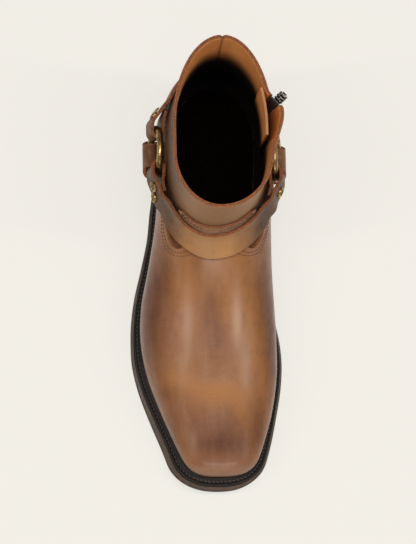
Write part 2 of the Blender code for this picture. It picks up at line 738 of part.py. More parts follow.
def pin(name, frame, centre, half, radius, helper=True, segments=12, origin=(0, 0, 0)):
    """A round bar along the frame's first axis."""
    place, axes = frame
    rings = [[place + axes.T @ np.array([x, centre[0] + radius * math.cos(a), centre[1] + radius * math.sin(a)])
              for a in np.linspace(0, 2 * math.pi, segments, endpoint=False)] for x in (-half, half)]
    faces = [tuple(range(segments)), tuple(range(segments, 2 * segments))] + between(0, segments, segments)
    obj = finish(name, np.vstack(rings), faces, GUNMETAL, 0.4, 1.0, 38, origin)
    obj.hide_render = helper
    obj.display_type = "WIRE" if helper else "TEXTURED"
    return obj


SLIDER_AT = 187.0
SLIDER = {"across": 3.5, "up": 4.6, "lift": 0.6, "thick": 3.2, "pin": 2.4, "pin_radius": 0.7, "pin_up": 1.6}
PULL = {"eye": 1.9, "hole": 1.1, "half": 1.7, "tab": 2.7, "neck": 3.4, "long": 19.0, "thick": 1.3}
TAPE = {"half": 2.8, "level": -1.3, "thick": 0.9}
CHAIN = {"half": 1.7, "thick": 1.7}
GUARD = {"low": 82, "high": 193, "behind": -9, "ahead": 24, "thick": 1.6, "off_wall": 2.0}


def zip_parts():
    tape = zip_grid(ZIP_FOOT[1] + 1, ZIP_TOP[1] - 3, TAPE["half"], 14, TAPE["level"])
    strip("zip_tape", tape, TAPE["thick"], (0.03, 0.026, 0.024), 0.85)
    chain = zip_grid(ZIP_FOOT[1] + 3, SLIDER_AT - SLIDER["up"] - 0.4, CHAIN["half"], 14, TAPE["level"])
    outward = normals(chain)
    outward *= np.sign(-outward[..., :1])
    on_tape = TAPE["thick"] / 2 + GAP + CHAIN["thick"] / 2
    strip("zip_chain", chain + outward * on_tape, CHAIN["thick"], BRASS, 0.35, 1.0)

    here = zip_grid(SLIDER_AT - 4, SLIDER_AT + 4, 2.0, 3, 0.0)
    out = normals(here)[1, 1]
    out *= np.sign(-out[0])
    up = here[2, 1] - here[0, 1]
    up /= np.linalg.norm(up)
    across = np.cross(up, out)
    frame = (here[1, 1], np.array([across, up, out]))
    lift, thick = SLIDER["lift"], SLIDER["thick"]
    slider = block("zip_slider", frame, (-SLIDER["across"], -SLIDER["up"], lift),
                   (SLIDER["across"], SLIDER["up"], lift + thick))
    face = lift + thick
    height = face + SLIDER["pin"]
    for name, x in (("slider_ear_back", -1), ("slider_ear_front", 1)):
        low, high = sorted((x * 2.2, x * 3.2))
        cut(slider, block(name, frame, (low, 0.3, face - 0.5), (high, 2.9, height + 1.2), helper=True), "UNION")
    cut(slider, pin("slider_pin", frame, (SLIDER["pin_up"], height), 2.7, SLIDER["pin_radius"]), "UNION")

    hinge = frame[0] + frame[1].T @ np.array([0, SLIDER["pin_up"], height])
    on_hinge = (hinge, frame[1])
    pull = pin("zip_pull", on_hinge, (0, 0), PULL["half"], PULL["eye"], False, 14, hinge)
    half = PULL["thick"] / 2
    cut(pull, block("pull_neck", on_hinge, (-PULL["half"], -PULL["neck"] - 0.5, -half), (PULL["half"], -0.6, half),
                    helper=True), "UNION")
    cut(pull, block("pull_tab", on_hinge, (-PULL["tab"], -PULL["long"], -half - 0.1),
                    (PULL["tab"], -PULL["neck"], half + 0.1), helper=True), "UNION")
    cut(pull, pin("pull_hole", on_hinge, (0, 0), 6, PULL["hole"]), "DIFFERENCE")
    cut(pull, block("pull_slot", on_hinge, (-1.3, -PULL["long"] + 2.6, -4), (1.3, -PULL["long"] + 9, 4),
                    helper=True), "DIFFERENCE")


def zip_guard():
    """The leather flap behind the zip: flat inside the back part, free of the front part."""
    grid = []
    for z in np.linspace(GUARD["low"], GUARD["high"], 9):
        y = zip_y(z) + np.linspace(GUARD["behind"], GUARD["ahead"], 6)
        grid.append(np.stack([wall_x(-1, y, z, -WALL - GUARD["off_wall"], False), y, np.full(6, z)], 1))
    strip("zip_guard", grid, GUARD["thick"], (0.45, 0.24, 0.10), 0.65)


def main():
    for obj in list(bpy.data.objects):
        bpy.data.objects.remove(obj, do_unlink=True)
    outsole()
    heel()
    welt()
    insole()
    upper()
    vamp()
    harness()
    zip_parts()
    zip_guard()


main()
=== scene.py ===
# %% [markdown]
# # A harness boot with a zip, for the right foot
#
# The real boot is made over a wooden last: a leather wall is pulled over it, a stitched welt holds that
# wall to the sole, and three straps meet in a brass ring on each side of the ankle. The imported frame
# already has every solid at its real size. This script dresses them, so it works in the frame's own
# metres and moves nothing.
#
# Leather wants fine, even surfaces, so most pieces are made again here from the same last, only with many
# more points. The script says what each finish is on the real boot before it makes it.

# %% Load the frame
import math

import bmesh
import bpy
import numpy as np
from mathutils import Matrix, Vector
from mathutils.bvhtree import BVHTree


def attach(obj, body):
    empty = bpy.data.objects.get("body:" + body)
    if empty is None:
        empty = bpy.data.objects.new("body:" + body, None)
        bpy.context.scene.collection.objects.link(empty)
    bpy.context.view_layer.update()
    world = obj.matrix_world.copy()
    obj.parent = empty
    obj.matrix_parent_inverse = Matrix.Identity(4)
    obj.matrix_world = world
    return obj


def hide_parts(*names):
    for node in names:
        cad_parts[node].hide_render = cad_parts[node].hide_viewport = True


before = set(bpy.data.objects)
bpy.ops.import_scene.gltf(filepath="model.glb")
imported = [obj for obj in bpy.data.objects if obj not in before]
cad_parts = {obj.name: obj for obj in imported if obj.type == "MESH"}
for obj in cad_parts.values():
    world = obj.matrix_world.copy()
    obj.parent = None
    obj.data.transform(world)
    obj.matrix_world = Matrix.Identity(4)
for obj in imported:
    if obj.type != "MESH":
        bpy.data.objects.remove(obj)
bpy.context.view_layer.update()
MM = 0.001

# %% [markdown]
# ## The last, as short tables
#
# A last maker draws the foot from above and from the side, and marks how round it is between. These
# tables say the same: half breadths from above, the shaft's breadths by height, and for each level where
# its section starts at the back line of the boot and where it ends at the front line. A free-hand sculpt
# would look alike from one side only; tables keep the boot true from every side, and the same function
# can carry the stitches and the straps.

# %% Tables of the last
def table(names, rows):
    """A small table with named columns."""
    return dict(zip(names.split(), (np.array(column, float) for column in zip(*rows))))


# Half breadths of the leather wall from above, and how far it draws in above the welt
FOOT = table("y outer inner tuck_outer tuck_inner", [
    (-40, 33.0, 32.0, 2.5, 2.5),
    (0, 36.5, 35.0, 2.5, 2.5),
    (38, 40.0, 37.0, 2.0, 5.0),
    (75, 42.8, 38.5, 1.5, 8.5),
    (105, 47.8, 39.5, 1.5, 6.0),
    (130, 52.8, 41.0, 2.0, 3.0),
    (157, 53.8, 42.4, 2.3, 2.3),
    (185, 48.8, 42.0, 2.3, 2.3),
    (210, 39.8, 38.2, 2.3, 2.3),
    (232, 30.6, 32.2, 2.3, 2.3),
    (248, 23.5, 27.0, 2.3, 2.3),
    (262, 17.5, 22.0, 2.3, 2.3),
])
# Half breadths of the wall at each height of the shaft
SHAFT = table("z outer inner", [
    (40, 39.5, 38.0),
    (60, 39.0, 37.5),
    (80, 37.8, 36.4),
    (100, 36.8, 34.6),
    (125, 36.3, 33.0),
    (160, 36.7, 31.8),
    (200, 37.2, 31.0),
])
# One row a level: its two ends in side view, the depth of its rounding there, and how square its front is
LEVELS = table("heel_y heel_z toe_y toe_z front back square", [
    (-33.2, 39.2, 252.6, 12.7, 13, 38, 3.0),
    (-33.6, 43.1, 252.9, 16.6, 13, 38, 3.0),
    (-36.2, 50.0, 255.2, 23.0, 13, 39, 3.0),
    (-37.6, 57.0, 253.8, 30.0, 14, 40, 3.0),
    (-38.0, 64.0, 247.8, 36.4, 15, 41, 3.0),
    (-37.6, 71.0, 236.0, 41.6, 18, 42, 2.9),
    (-36.6, 78.0, 216.0, 48.0, 23, 44, 2.7),
    (-35.2, 86.0, 189.0, 55.0, 29, 46, 2.5),
    (-33.6, 94.5, 160.0, 61.5, 34, 48, 2.35),
    (-32.0, 104.0, 133.0, 68.6, 37, 50, 2.2),
    (-30.7, 115.0, 112.0, 77.8, 40, 53, 2.1),
    (-29.8, 127.0, 98.6, 88.0, 43, 56, 2.0),
    (-29.1, 140.0, 90.2, 99.5, 45, 59, 2.0),
    (-28.6, 156.0, 87.4, 115.0, 44, 62, 2.0),
    (-28.3, 174.0, 88.8, 152.0, 41, 64, 2.0),
    (-28.3, 194.0, 92.2, 195.0, 38, 64, 2.0),
])
COLLAR = len(LEVELS["toe_y"]) - 1.0
LEVELS["level"] = np.arange(COLLAR + 1)
# The middle line of the boot from above
RIDGE = table("y x", [
    (-40, 2.0), (0, 2.5), (50, 3.5), (90, 5.0), (125, 4.0), (165, 2.0), (210, 0.0), (262, -1.5),
])
# Half breadths of the outsole's and the welt's edge from above
SOLE = table("y outer inner welt_outer welt_inner", [
    (-40, 38.0, 37.0, 36.8, 36.0),
    (0, 39.5, 38.0, 38.2, 37.0),
    (38, 44.2, 36.6, 42.6, 35.4),
    (60, 47.6, 34.6, 45.8, 33.4),
    (80, 49.8, 34.0, 47.9, 32.8),
    (100, 54.2, 36.4, 52.2, 35.0),
    (122, 59.5, 42.0, 57.5, 40.4),
    (145, 62.3, 47.2, 60.3, 45.5),
    (157, 62.5, 49.4, 60.5, 47.6),
    (170, 61.9, 50.4, 59.7, 48.6),
    (190, 57.7, 49.2, 54.9, 47.4),
    (212, 50.0, 45.2, 46.3, 43.4),
    (235, 40.8, 39.9, 36.6, 38.0),
    (250, 35.4, 35.2, 31.2, 33.2),
    (268, 29.0, 28.4, 25.0, 26.0),
])
print("levels of the last:", len(LEVELS["level"]), "and stations of the sole:", len(SOLE["y"]))

# %% [markdown]
# ## Reading the tables as smooth curves
#
# Straight lines between the rows would show as flats on polished leather, so a cubic runs through each
# column. It is worked out here in a few lines, because the same reader then serves every table.

# %% Reading a table, and the thicknesses of the boot
def ease(t):
    """From 0 to 1 with a soft start and end."""
    t = np.clip(t, 0.0, 1.0)
    return t * t * (3 - 2 * t)


def read(rows, name, at, key="y"):
    """A column of a table as a smooth curve through its rows."""
    x, v = rows[key], rows[name]
    slope = np.gradient(v, x)
    at = np.clip(at, x[0], x[-1])
    i = np.clip(np.searchsorted(x, at, side="right") - 1, 0, len(x) - 2)
    step = x[i + 1] - x[i]
    t = (at - x[i]) / step
    return ((1 + 2 * t) * (1 - t) ** 2 * v[i] + t * (1 - t) ** 2 * step * slope[i]
            + t * t * (3 - 2 * t) * v[i + 1] - t * t * (1 - t) * step * slope[i + 1])


# Sizes in millimetres, as the frame has them
GAP, OUTSOLE, WELT, INSOLE, WALL = 0.3, 6.0, 3.6, 3.0, 2.4
VAMP_IN, VAMP_OUT = 0.3, 2.0
HEEL_TIP, BREAST, BALL_START, BALL_END, TOE_TIP = -38.5, 38.0, 125.0, 187.0, 267.0
HEEL_BACK, HEEL_BREAST, TOE_SPRING, TOP_PIECE = 33.0, 31.0, 9.0, 6.0
ZIP_TOP, ZIP_FOOT, ZIP_SLOT = (18.0, 195.0), (4.0, 60.0), 7.0
SOLE_ENDS = {"back": (HEEL_TIP, 37.0, 2.15), "front": (TOE_TIP, 22.0, 2.4)}
WELT_ENDS = {"back": (HEEL_TIP + 1.2, 36.0, 2.15), "front": (TOE_TIP - 3.3, 20.0, 2.5)}


def sole_under(y):
    """Height of the outsole's underside: heel seat, shank, flat ball and toe spring."""
    y = np.asarray(y, float)
    seat = HEEL_BREAST + (HEEL_BACK - HEEL_BREAST) * (BREAST - y) / (BREAST - HEEL_TIP)
    t = np.clip((y - BREAST) / (BALL_START - BREAST), 0, 1)
    drop = -0.10 * (BALL_START - BREAST) * t * (1 - t) ** 2
    shank = HEEL_BREAST * (1 + 2 * t) * (1 - t) ** 2 + drop
    spring = TOE_SPRING * (np.clip(y - BALL_END, 0, None) / (TOE_TIP - BALL_END)) ** 2
    return np.where(y < BREAST, seat, np.where(y < BALL_START, shank, spring))


def seat_height(y):
    """Height of the outsole's top, which everything inside the welt stands on."""
    return sole_under(y) + OUTSOLE


print("seat height at heel, arch and ball:", [round(float(seat_height(y)), 1) for y in (0, 80, 150)])

# %% [markdown]
# ## The wall of the boot as one function
#
# Seen from the side, the boot is bounded by its back line and its front line. A point well inside them
# lies at full breadth. Near a line the wall turns round to meet the other side, along a part of a
# superellipse, which is how a last is rounded. So one function gives the wall's X at any point of the
# side view, and a distance outwards gives the vamp, the straps and the stitches their own levels over the
# same form.

# %% The wall of the last
def line_of(side, per_level=10):
    """The back or front line of the boot in side view, with the rounding at each of its points."""
    at = np.linspace(0, COLLAR, int(COLLAR) * per_level + 1)
    points = np.stack([read(LEVELS, side + "_y", at, "level"), read(LEVELS, side + "_z", at, "level")], 1)
    depth = read(LEVELS, "front" if side == "toe" else "back", at, "level")
    square = read(LEVELS, "square", at, "level") if side == "toe" else np.full(len(at), 2.0)
    along = np.gradient(points, axis=0)
    normal = np.stack([along[:, 1], -along[:, 0]], 1) / np.hypot(along[:, 0], along[:, 1])[:, None]
    # Each line runs on a little below the sole and above the collar
    points = np.vstack([points[0] + [0, -25], points, points[-1] + (points[-1] - points[-2]) * 8])
    return {
        "at": at,
        "normal": normal * (-1 if side == "heel" else 1),
        "points": points,
        "depth": np.concatenate([depth[:1], depth, depth[-1:]]),
        "square": np.concatenate([square[:1], square, square[-1:]]),
        "inside": -1.0 if side == "heel" else 1.0,
    }


LINES = {"heel": line_of("heel"), "toe": line_of("toe")}


def depth_behind(line, y, z):
    """How far a point of the side view lies inside a line, with the line's rounding nearest to it."""
    p = np.stack([np.ravel(y), np.ravel(z)], 1)[:, None, :]
    a = line["points"][:-1][None]
    along = (line["points"][1:] - line["points"][:-1])[None]
    t = np.clip(((p - a) * along).sum(2) / (along ** 2).sum(2), 0, 1)
    away = p - (a + t[..., None] * along)
    distance = np.hypot(away[..., 0], away[..., 1])
    k = distance.argmin(1)
    row = np.arange(len(k))
    tk = t[row, k]
    turn = along[0, k, 0] * away[row, k, 1] - along[0, k, 1] * away[row, k, 0]
    sign = np.where(turn * line["inside"] >= 0, 1.0, -1.0)
    depth = line["depth"][k] * (1 - tk) + line["depth"][k + 1] * tk
    square = line["square"][k] * (1 - tk) + line["square"][k + 1] * tk
    shape = np.shape(y)
    return (sign * distance[row, k]).reshape(shape), depth.reshape(shape), square.reshape(shape)


def rounding(d, depth, square):
    """0 on the boot's outline, 1 once the wall has turned to face sideways."""
    t = 1 - np.clip(d / depth, 0, 1)
    return (1 - t ** square) ** (1 / square)


def zip_y(z):
    """Where the zip runs at a height."""
    t = (ZIP_TOP[1] - z) / (ZIP_TOP[1] - ZIP_FOOT[1])
    return ZIP_TOP[0] + (ZIP_FOOT[0] - ZIP_TOP[0]) * t


def wall_x(side, y, z, out=0.0, flare=True):
    """X of the wall at a point of the side view. side is 1 for the outer side and -1 for the inner."""
    y, z = np.broadcast_arrays(np.asarray(y, float), np.asarray(z, float))
    name = "outer" if side > 0 else "inner"
    # The breadths of the foot give way to those of the shaft between 45 and 100 mm up
    on_shaft = ease((z - 45) / 55)
    breadth = read(FOOT, name, y) * (1 - on_shaft) + read(SHAFT, name, z, "z") * on_shaft
    # The wall is drawn in over the welt
    rise = z - seat_height(y)
    breadth = breadth - read(FOOT, "tuck_" + name, y) * (1 - ease((rise - WELT - GAP) / 17))
    # Ahead of the zip the collar flares out towards its top
    if side < 0 and flare:
        ahead = y - zip_y(z)
        lip = ease((ahead + 8) / 14) * (1 - ease((ahead - 6) / 36))
        breadth = breadth + 8 * lip * ease((z - 115) / 80)
    front, front_depth, square = depth_behind(LINES["toe"], y, z)
    back, back_depth, round_back = depth_behind(LINES["heel"], y, z)
    r = rounding(front + out, front_depth + out, square) * rounding(back + out, back_depth + out, round_back)
    ridge = read(RIDGE, "x", y)
    return ridge + (side * (breadth + out) - ridge) * r


def end_of(side, level, out):
    """A level's end on the back or front line, moved outwards."""
    line = LINES[side]
    inner = line["points"][1:-1]
    return np.array([np.interp(level, line["at"], inner[:, i])
                     + out * np.interp(level, line["at"], line["normal"][:, i]) for i in (0, 1)])


def ring_of(level, out, columns):
    """Points round the boot at a level: along the outer side to the front line, and back inside."""
    heel, toe = end_of("heel", level, out), end_of("toe", level, out)
    s = (1 - np.cos(np.linspace(0, math.pi, columns))) / 2
    y = heel[0] + (toe[0] - heel[0]) * s
    # The lowest levels follow the sole's curve, and higher ones do so less and less
    chord = LEVELS["heel_z"][0] + (LEVELS["toe_z"][0] - LEVELS["heel_z"][0]) * s
    sag = seat_height(y) + GAP - chord
    z = heel[1] + (toe[1] - heel[1]) * s + sag * min(1.0, max(0.0, 1 - (level - 1) / 9)) ** 2
    if level >= COLLAR:
        z = LEVELS["heel_z"][-1] + (LEVELS["toe_z"][-1] - LEVELS["heel_z"][-1]) * s
    outer = np.stack([wall_x(1, y, z, out), y, z], 1)
    inner = np.stack([wall_x(-1, y, z, out), y, z], 1)
    outer[[0, -1], 0] = read(RIDGE, "x", y[[0, -1]])
    return np.vstack([outer, inner[-2:0:-1]])


collar_ring = ring_of(COLLAR, 0.0, 41)
print("collar in mm:", (np.ptp(collar_ring, axis=0)).round(1))

# %% [markdown]
# ## From points to pieces
#
# Every piece below is worked out as rings or grids of points in millimetres. One helper turns them into a
# mesh in metres, gives each face its finish by number, and lets the piece ride on its body. Another joins
# rings, and a third cuts a piece in side view, as a clicker cuts leather with a knife that goes straight
# down.

# %% Mesh helpers
def piece(name, verts, faces, finishes, which=None, body="boot", instead_of=(), slot=None, angle=38):
    """A piece from points in mm. which gives the number of each face's finish."""
    mesh = bpy.data.meshes.new(name)
    mesh.from_pydata((np.asarray(verts, float) * MM).tolist(), [], [tuple(map(int, f)) for f in faces])
    for finish in finishes:
        mesh.materials.append(finish)
    if which is not None:
        mesh.polygons.foreach_set("material_index", np.asarray(which, np.int32))
    obj = bpy.data.objects.new(name, mesh)
    bpy.context.scene.collection.objects.link(obj)
    face_outwards(obj)
    mesh.shade_smooth()
    mesh.set_sharp_from_angle(angle=math.radians(angle))
    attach(obj, body)
    if instead_of:
        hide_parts(*instead_of)
    return obj


def face_outwards(obj):
    """Turns every face to look out of its solid."""
    bm = bmesh.new()
    bm.from_mesh(obj.data)
    bmesh.ops.recalc_face_normals(bm, faces=bm.faces)
    bm.to_mesh(obj.data)
    bm.free()


def hoops(count, around, closed=False):
    """Quads between rings that lie one after another in a list of points."""
    i = np.arange(around)
    j = (i + 1) % around
    faces = []
    for k in range(count if closed else count - 1):
        a, b = k * around, ((k + 1) % count) * around
        faces.append(np.stack([a + i, a + j, b + j, b + i], 1))
    return np.vstack(faces)


def cut_to(obj, outline, x_from, x_to, operation, cut_finish, angle=38):
    """Cuts a piece with a prism drawn in side view. The cut faces take cut_finish."""
    count = len(outline)
    verts = [(x * MM, y * MM, z * MM) for x in (x_from, x_to) for y, z in outline]
    faces = [tuple(range(count))[::-1], tuple(range(count, 2 * count))]
    faces += [(i, (i + 1) % count, count + (i + 1) % count, count + i) for i in range(count)]
    mesh = bpy.data.meshes.new("knife")
    mesh.from_pydata(verts, [], faces)
    mesh.materials.append(cut_finish)
    knife = bpy.data.objects.new("knife", mesh)
    bpy.context.scene.collection.objects.link(knife)
    face_outwards(knife)
    step = obj.modifiers.new("cut", "BOOLEAN")
    step.operation, step.solver, step.object = operation, "EXACT", knife
    step.material_mode = "TRANSFER"
    graph = bpy.context.evaluated_depsgraph_get()
    cut = bpy.data.meshes.new_from_object(obj.evaluated_get(graph), depsgraph=graph)
    obj.modifiers.clear()
    old, obj.data = obj.data, cut
    cut.name = obj.name
    bpy.data.meshes.remove(old)
    bpy.data.objects.remove(knife)
    cut.set_sharp_from_angle(angle=math.radians(angle))
    return obj


def mark(obj, name, value):
    """Stores a number at each point of a piece, which its finish reads. value takes X, Y and Z in mm."""
    co = np.empty(len(obj.data.vertices) * 3, np.float32)
    obj.data.vertices.foreach_get("co", co)
    x, y, z = co.reshape(-1, 3).T / MM
    store = obj.data.attributes.get(name) or obj.data.attributes.new(name, "FLOAT", "POINT")
    store.data.foreach_set("value", np.asarray(value(x, y, z), np.float32))


def size_of(obj):
    return obj.name, "faces:", len(obj.data.polygons), "mm:", [round(d / MM, 1) for d in obj.dimensions]


print("mesh helpers are ready")

# %% [markdown]
# ## Finishes: the leather
#
# This is waxed pull-up leather. Where it is stretched over the last the wax moves and the hide shows
# lighter and more orange; at the toe and at the seams it was rubbed with a dark cream, and low along the
# welt it is darker. The grain is nearly closed. So the colour is built in layers, as the finisher does it:
# a base, large clouds, a fine mottle, faint streaks, and then the rubbed cream. Numbers stored at the
# pieces' points place the cream and the stretched hide, and also painted shade on the sides and painted
# highlights on the vamp. Painted textures would also do, but nodes keep their detail at any distance and
# fit every piece without unwrapping.

# %% Node helpers and the leather finish
def blank(name, colour, rough, metal=0.0, coat=0.0, coat_rough=0.3):
    material = bpy.data.materials.new(name)
    material.use_nodes = True
    shader = material.node_tree.nodes["Principled BSDF"]
    shader.inputs["Base Color"].default_value = (*colour, 1)
    shader.inputs["Roughness"].default_value = rough
    shader.inputs["Metallic"].default_value = metal
    shader.inputs["Coat Weight"].default_value = coat
    shader.inputs["Coat Roughness"].default_value = coat_rough
    return material


def noise(material, scale, detail=3.0, stretch=(1, 1, 1), rough=0.55, warp=0.0):
    """Noise over the boot's own space, scale in bumps a metre. Returns its value, from 0 to 1."""
    tree = material.node_tree
    place = tree.nodes.new("ShaderNodeTexCoord")
    shape = tree.nodes.new("ShaderNodeMapping")
    shape.inputs["Scale"].default_value = stretch
    texture = tree.nodes.new("ShaderNodeTexNoise")
    texture.inputs["Scale"].default_value = scale
    texture.inputs["Detail"].default_value = detail
    texture.inputs["Roughness"].default_value = rough
    texture.inputs["Distortion"].default_value = warp
    tree.links.new(place.outputs["Object"], shape.inputs["Vector"])
    tree.links.new(shape.outputs["Vector"], texture.inputs["Vector"])
    return texture.outputs["Fac"]


def cells(material, scale):
    tree = material.node_tree
    place = tree.nodes.new("ShaderNodeTexCoord")
    texture = tree.nodes.new("ShaderNodeTexVoronoi")
    texture.inputs["Scale"].default_value = scale
    tree.links.new(place.outputs["Object"], texture.inputs["Vector"])
    return texture.outputs["Distance"]


def stored(material, name):
    node = material.node_tree.nodes.new("ShaderNodeAttribute")
    node.attribute_name = name
    return node.outputs["Fac"]


def span(material, value, low, high, to_low=0.0, to_high=1.0):
    """Moves a value's range low to high onto to_low to to_high, and clips it."""
    node = material.node_tree.nodes.new("ShaderNodeMapRange")
    node.interpolation_type = "SMOOTHSTEP"
    for key, number in (("From Min", low), ("From Max", high), ("To Min", to_low), ("To Max", to_high)):
        node.inputs[key].default_value = number
    material.node_tree.links.new(value, node.inputs["Value"])
    return node.outputs["Result"]


def mix(material, share, below, above):
    """Lays a colour over another by a share. below and above are colours or sockets."""
    tree = material.node_tree
    node = tree.nodes.new("ShaderNodeMix")
    node.data_type = "RGBA"
    for socket, value in ((node.inputs[6], below), (node.inputs[7], above)):
        if isinstance(value, tuple):
            socket.default_value = (*value, 1)
        else:
            tree.links.new(value, socket)
    tree.links.new(share, node.inputs[0])
    return node.outputs[2]


def times(material, a, b):
    node = material.node_tree.nodes.new("ShaderNodeMath")
    node.operation = "MULTIPLY"
    for socket, value in zip(node.inputs, (a, b)):
        if isinstance(value, (int, float)):
            socket.default_value = value
        else:
            material.node_tree.links.new(value, socket)
    return node.outputs[0]


def plus(material, a, b):
    node = material.node_tree.nodes.new("ShaderNodeMath")
    node.operation = "ADD"
    material.node_tree.links.new(a, node.inputs[0])
    material.node_tree.links.new(b, node.inputs[1])
    return node.outputs[0]


def relief(material, height, deep):
    """Bumps of a depth in metres."""
    tree = material.node_tree
    node = tree.nodes.new("ShaderNodeBump")
    node.inputs["Strength"].default_value = 1.0
    node.inputs["Distance"].default_value = deep
    tree.links.new(height, node.inputs["Height"])
    tree.links.new(node.outputs["Normal"], tree.nodes["Principled BSDF"].inputs["Normal"])


def put(material, socket, value):
    material.node_tree.links.new(value, material.node_tree.nodes["Principled BSDF"].inputs[socket])


def pull_up_leather(name, base, pale, warm, cream_and_shade, rough=0.46, coat=0.12, shine=0.22):
    """Waxed leather: base, pale stretched hide and painted highlight, warm clouds, dark cream and painted
    shade.
    """
    m = blank(name, base, rough, coat=coat, coat_rough=0.22)
    m.node_tree.nodes["Principled BSDF"].inputs["Specular IOR Level"].default_value = shine
    # Bumps a metre: large clouds, a fine mottle, and streaks that run along the foot
    clouds = span(m, noise(m, 24, 3, (1.0, 0.5, 0.7), warp=0.4), 0.36, 0.68)
    mottle = noise(m, 170, 5, (1.0, 0.6, 0.8), rough=0.65)
    streak = noise(m, 70, 4, (1.0, 0.16, 0.5))
    colour = mix(m, times(m, clouds, 0.7), base, warm)
    colour = mix(m, times(m, span(m, streak, 0.45, 0.75), 0.28), colour, pale)
    colour = mix(m, times(m, span(m, mottle, 0.42, 0.75), 0.24), colour, cream_and_shade)
    colour = mix(m, stored(m, "warmth"), colour, warm)
    # The stored pale share is stretched hide, and on the vamp painted highlights
    colour = mix(m, stored(m, "stretch"), colour, pale)
    # The stored dark share is rubbed cream and, on the sides of the vamp and shaft, painted shade
    cream_and_shade_share = times(m, stored(m, "cream_and_shade"), span(m, mottle, 0.2, 0.8, 0.75, 1.0))
    colour = mix(m, cream_and_shade_share, colour, cream_and_shade)
    put(m, "Base Color", colour)
    put(m, "Roughness", span(m, mottle, 0.2, 0.8, rough - 0.07, rough + 0.09))
    # Pores and grain of about a millimetre, 0.13 mm deep
    grain = plus(m, times(m, noise(m, 1500, 2), 0.5), times(m, cells(m, 900), 0.6))
    relief(m, plus(m, grain, times(m, noise(m, 420, 3), 0.7)), 0.00013)
    return m


VAMP_LEATHER = pull_up_leather(
    "vamp_leather", base=(0.245, 0.104, 0.048), pale=(0.43, 0.26, 0.17), warm=(0.36, 0.150, 0.046),
    cream_and_shade=(0.085, 0.025, 0.014), rough=0.36, coat=0.28)
SHAFT_LEATHER = pull_up_leather(
    "shaft_leather", base=(0.122, 0.048, 0.016), pale=(0.40, 0.225, 0.125), warm=(0.20, 0.082, 0.026),
    cream_and_shade=(0.050, 0.018, 0.007), rough=0.55, coat=0.0, shine=0.07)
STRAP_LEATHER = pull_up_leather(
    "strap_leather", base=(0.160, 0.068, 0.028), pale=(0.40, 0.24, 0.14), warm=(0.46, 0.225, 0.085),
    cream_and_shade=(0.045, 0.016, 0.007), rough=0.46, coat=0.06, shine=0.16)
print("leathers:", [m.name for m in (VAMP_LEATHER, SHAFT_LEATHER, STRAP_LEATHER)])

# %% [markdown]
# ## Finishes: cut edges, lining, sole and metal
#
# A cut edge of this leather stays unpainted: it is bright orange-brown and fibrous, and it draws every
# line of the boot. The lining is a smooth tan calf, at its full colour at the collar; lower down inside the
# shaft painted shade darkens it to near black. The welt and the sole edge are stained nearly black and
# polished, the heel shows its stacked lifts, and the hardware is aged brass: dark in its hollows and
# brighter where it rubs.

# %% The other finishes
def cut_edge(name, bright, dark):
    """A raw cut through leather: fibres in two colours."""
    m = blank(name, bright, 0.75)
    fibres = noise(m, 900, 4, rough=0.7)
    put(m, "Base Color", mix(m, span(m, fibres, 0.3, 0.7), dark, bright))
    relief(m, fibres, 0.0004)
    return m


# Heights in metres between which the painted shade inside the shaft fades from near black to full colour
PAINTED_SHADE_LOW, PAINTED_SHADE_HIGH = 0.128, 0.172


def lining_leather(name, tan, light):
    """Smooth tan leather, darkened to near black down inside the shaft by painted shade."""
    m = blank(name, tan, 0.55)
    tree = m.node_tree
    place = tree.nodes.new("ShaderNodeTexCoord")
    split = tree.nodes.new("ShaderNodeSeparateXYZ")
    tree.links.new(place.outputs["Object"], split.inputs["Vector"])
    depth = span(m, split.outputs["Z"], PAINTED_SHADE_LOW, PAINTED_SHADE_HIGH)
    mottle = span(m, noise(m, 60, 4), 0.35, 0.7)
    colour = mix(m, mottle, tan, light)
    colour = mix(m, stored(m, "seam"), colour, (0.16, 0.055, 0.018))
    # Painted shade: lower down inside the shaft the colour fades to near black
    put(m, "Base Color", mix(m, depth, (0.006, 0.003, 0.002), colour))
    relief(m, noise(m, 1300, 3), 0.00012)
    return m


def dressed_edge(name, dark, worn, rough, grain=500, stretch=(1, 1, 1), coat=0.12, shine=0.3):
    """A stained and polished surface, rubbed paler in places."""
    m = blank(name, dark, rough, coat=coat, coat_rough=0.3)
    m.node_tree.nodes["Principled BSDF"].inputs["Specular IOR Level"].default_value = shine
    rub = noise(m, grain, 4, stretch, 0.65)
    put(m, "Base Color", mix(m, span(m, rub, 0.42, 0.78), dark, worn))
    put(m, "Roughness", span(m, rub, 0.3, 0.7, rough - 0.08, rough + 0.12))
    relief(m, rub, 0.00018)
    return m


def aged_metal(name, bright, tarnish, rough):
    """Metal with a dull patina in soft patches."""
    m = blank(name, bright, rough, metal=1.0)
    patina = noise(m, 260, 4, rough=0.6)
    put(m, "Base Color", mix(m, span(m, patina, 0.42, 0.7), bright, tarnish))
    put(m, "Roughness", span(m, patina, 0.3, 0.7, rough - 0.06, rough + 0.18))
    relief(m, noise(m, 900, 3), 0.00005)
    return m


def woven(name, colour, gloss_thread):
    """Fine tape: threads along the zip, crossed by others."""
    m = blank(name, colour, 0.85)
    tree = m.node_tree
    place = tree.nodes.new("ShaderNodeTexCoord")
    wave = tree.nodes.new("ShaderNodeTexWave")
    wave.bands_direction = "Z"
    wave.inputs["Scale"].default_value = 320
    tree.links.new(place.outputs["Object"], wave.inputs["Vector"])
    put(m, "Base Color", mix(m, wave.outputs["Fac"], colour, gloss_thread))
    relief(m, wave.outputs["Fac"], 0.0003)
    return m


def thread(name, colour, dark):
    m = blank(name, colour, 0.7)
    put(m, "Base Color", mix(m, noise(m, 1500, 2), dark, colour))
    return m


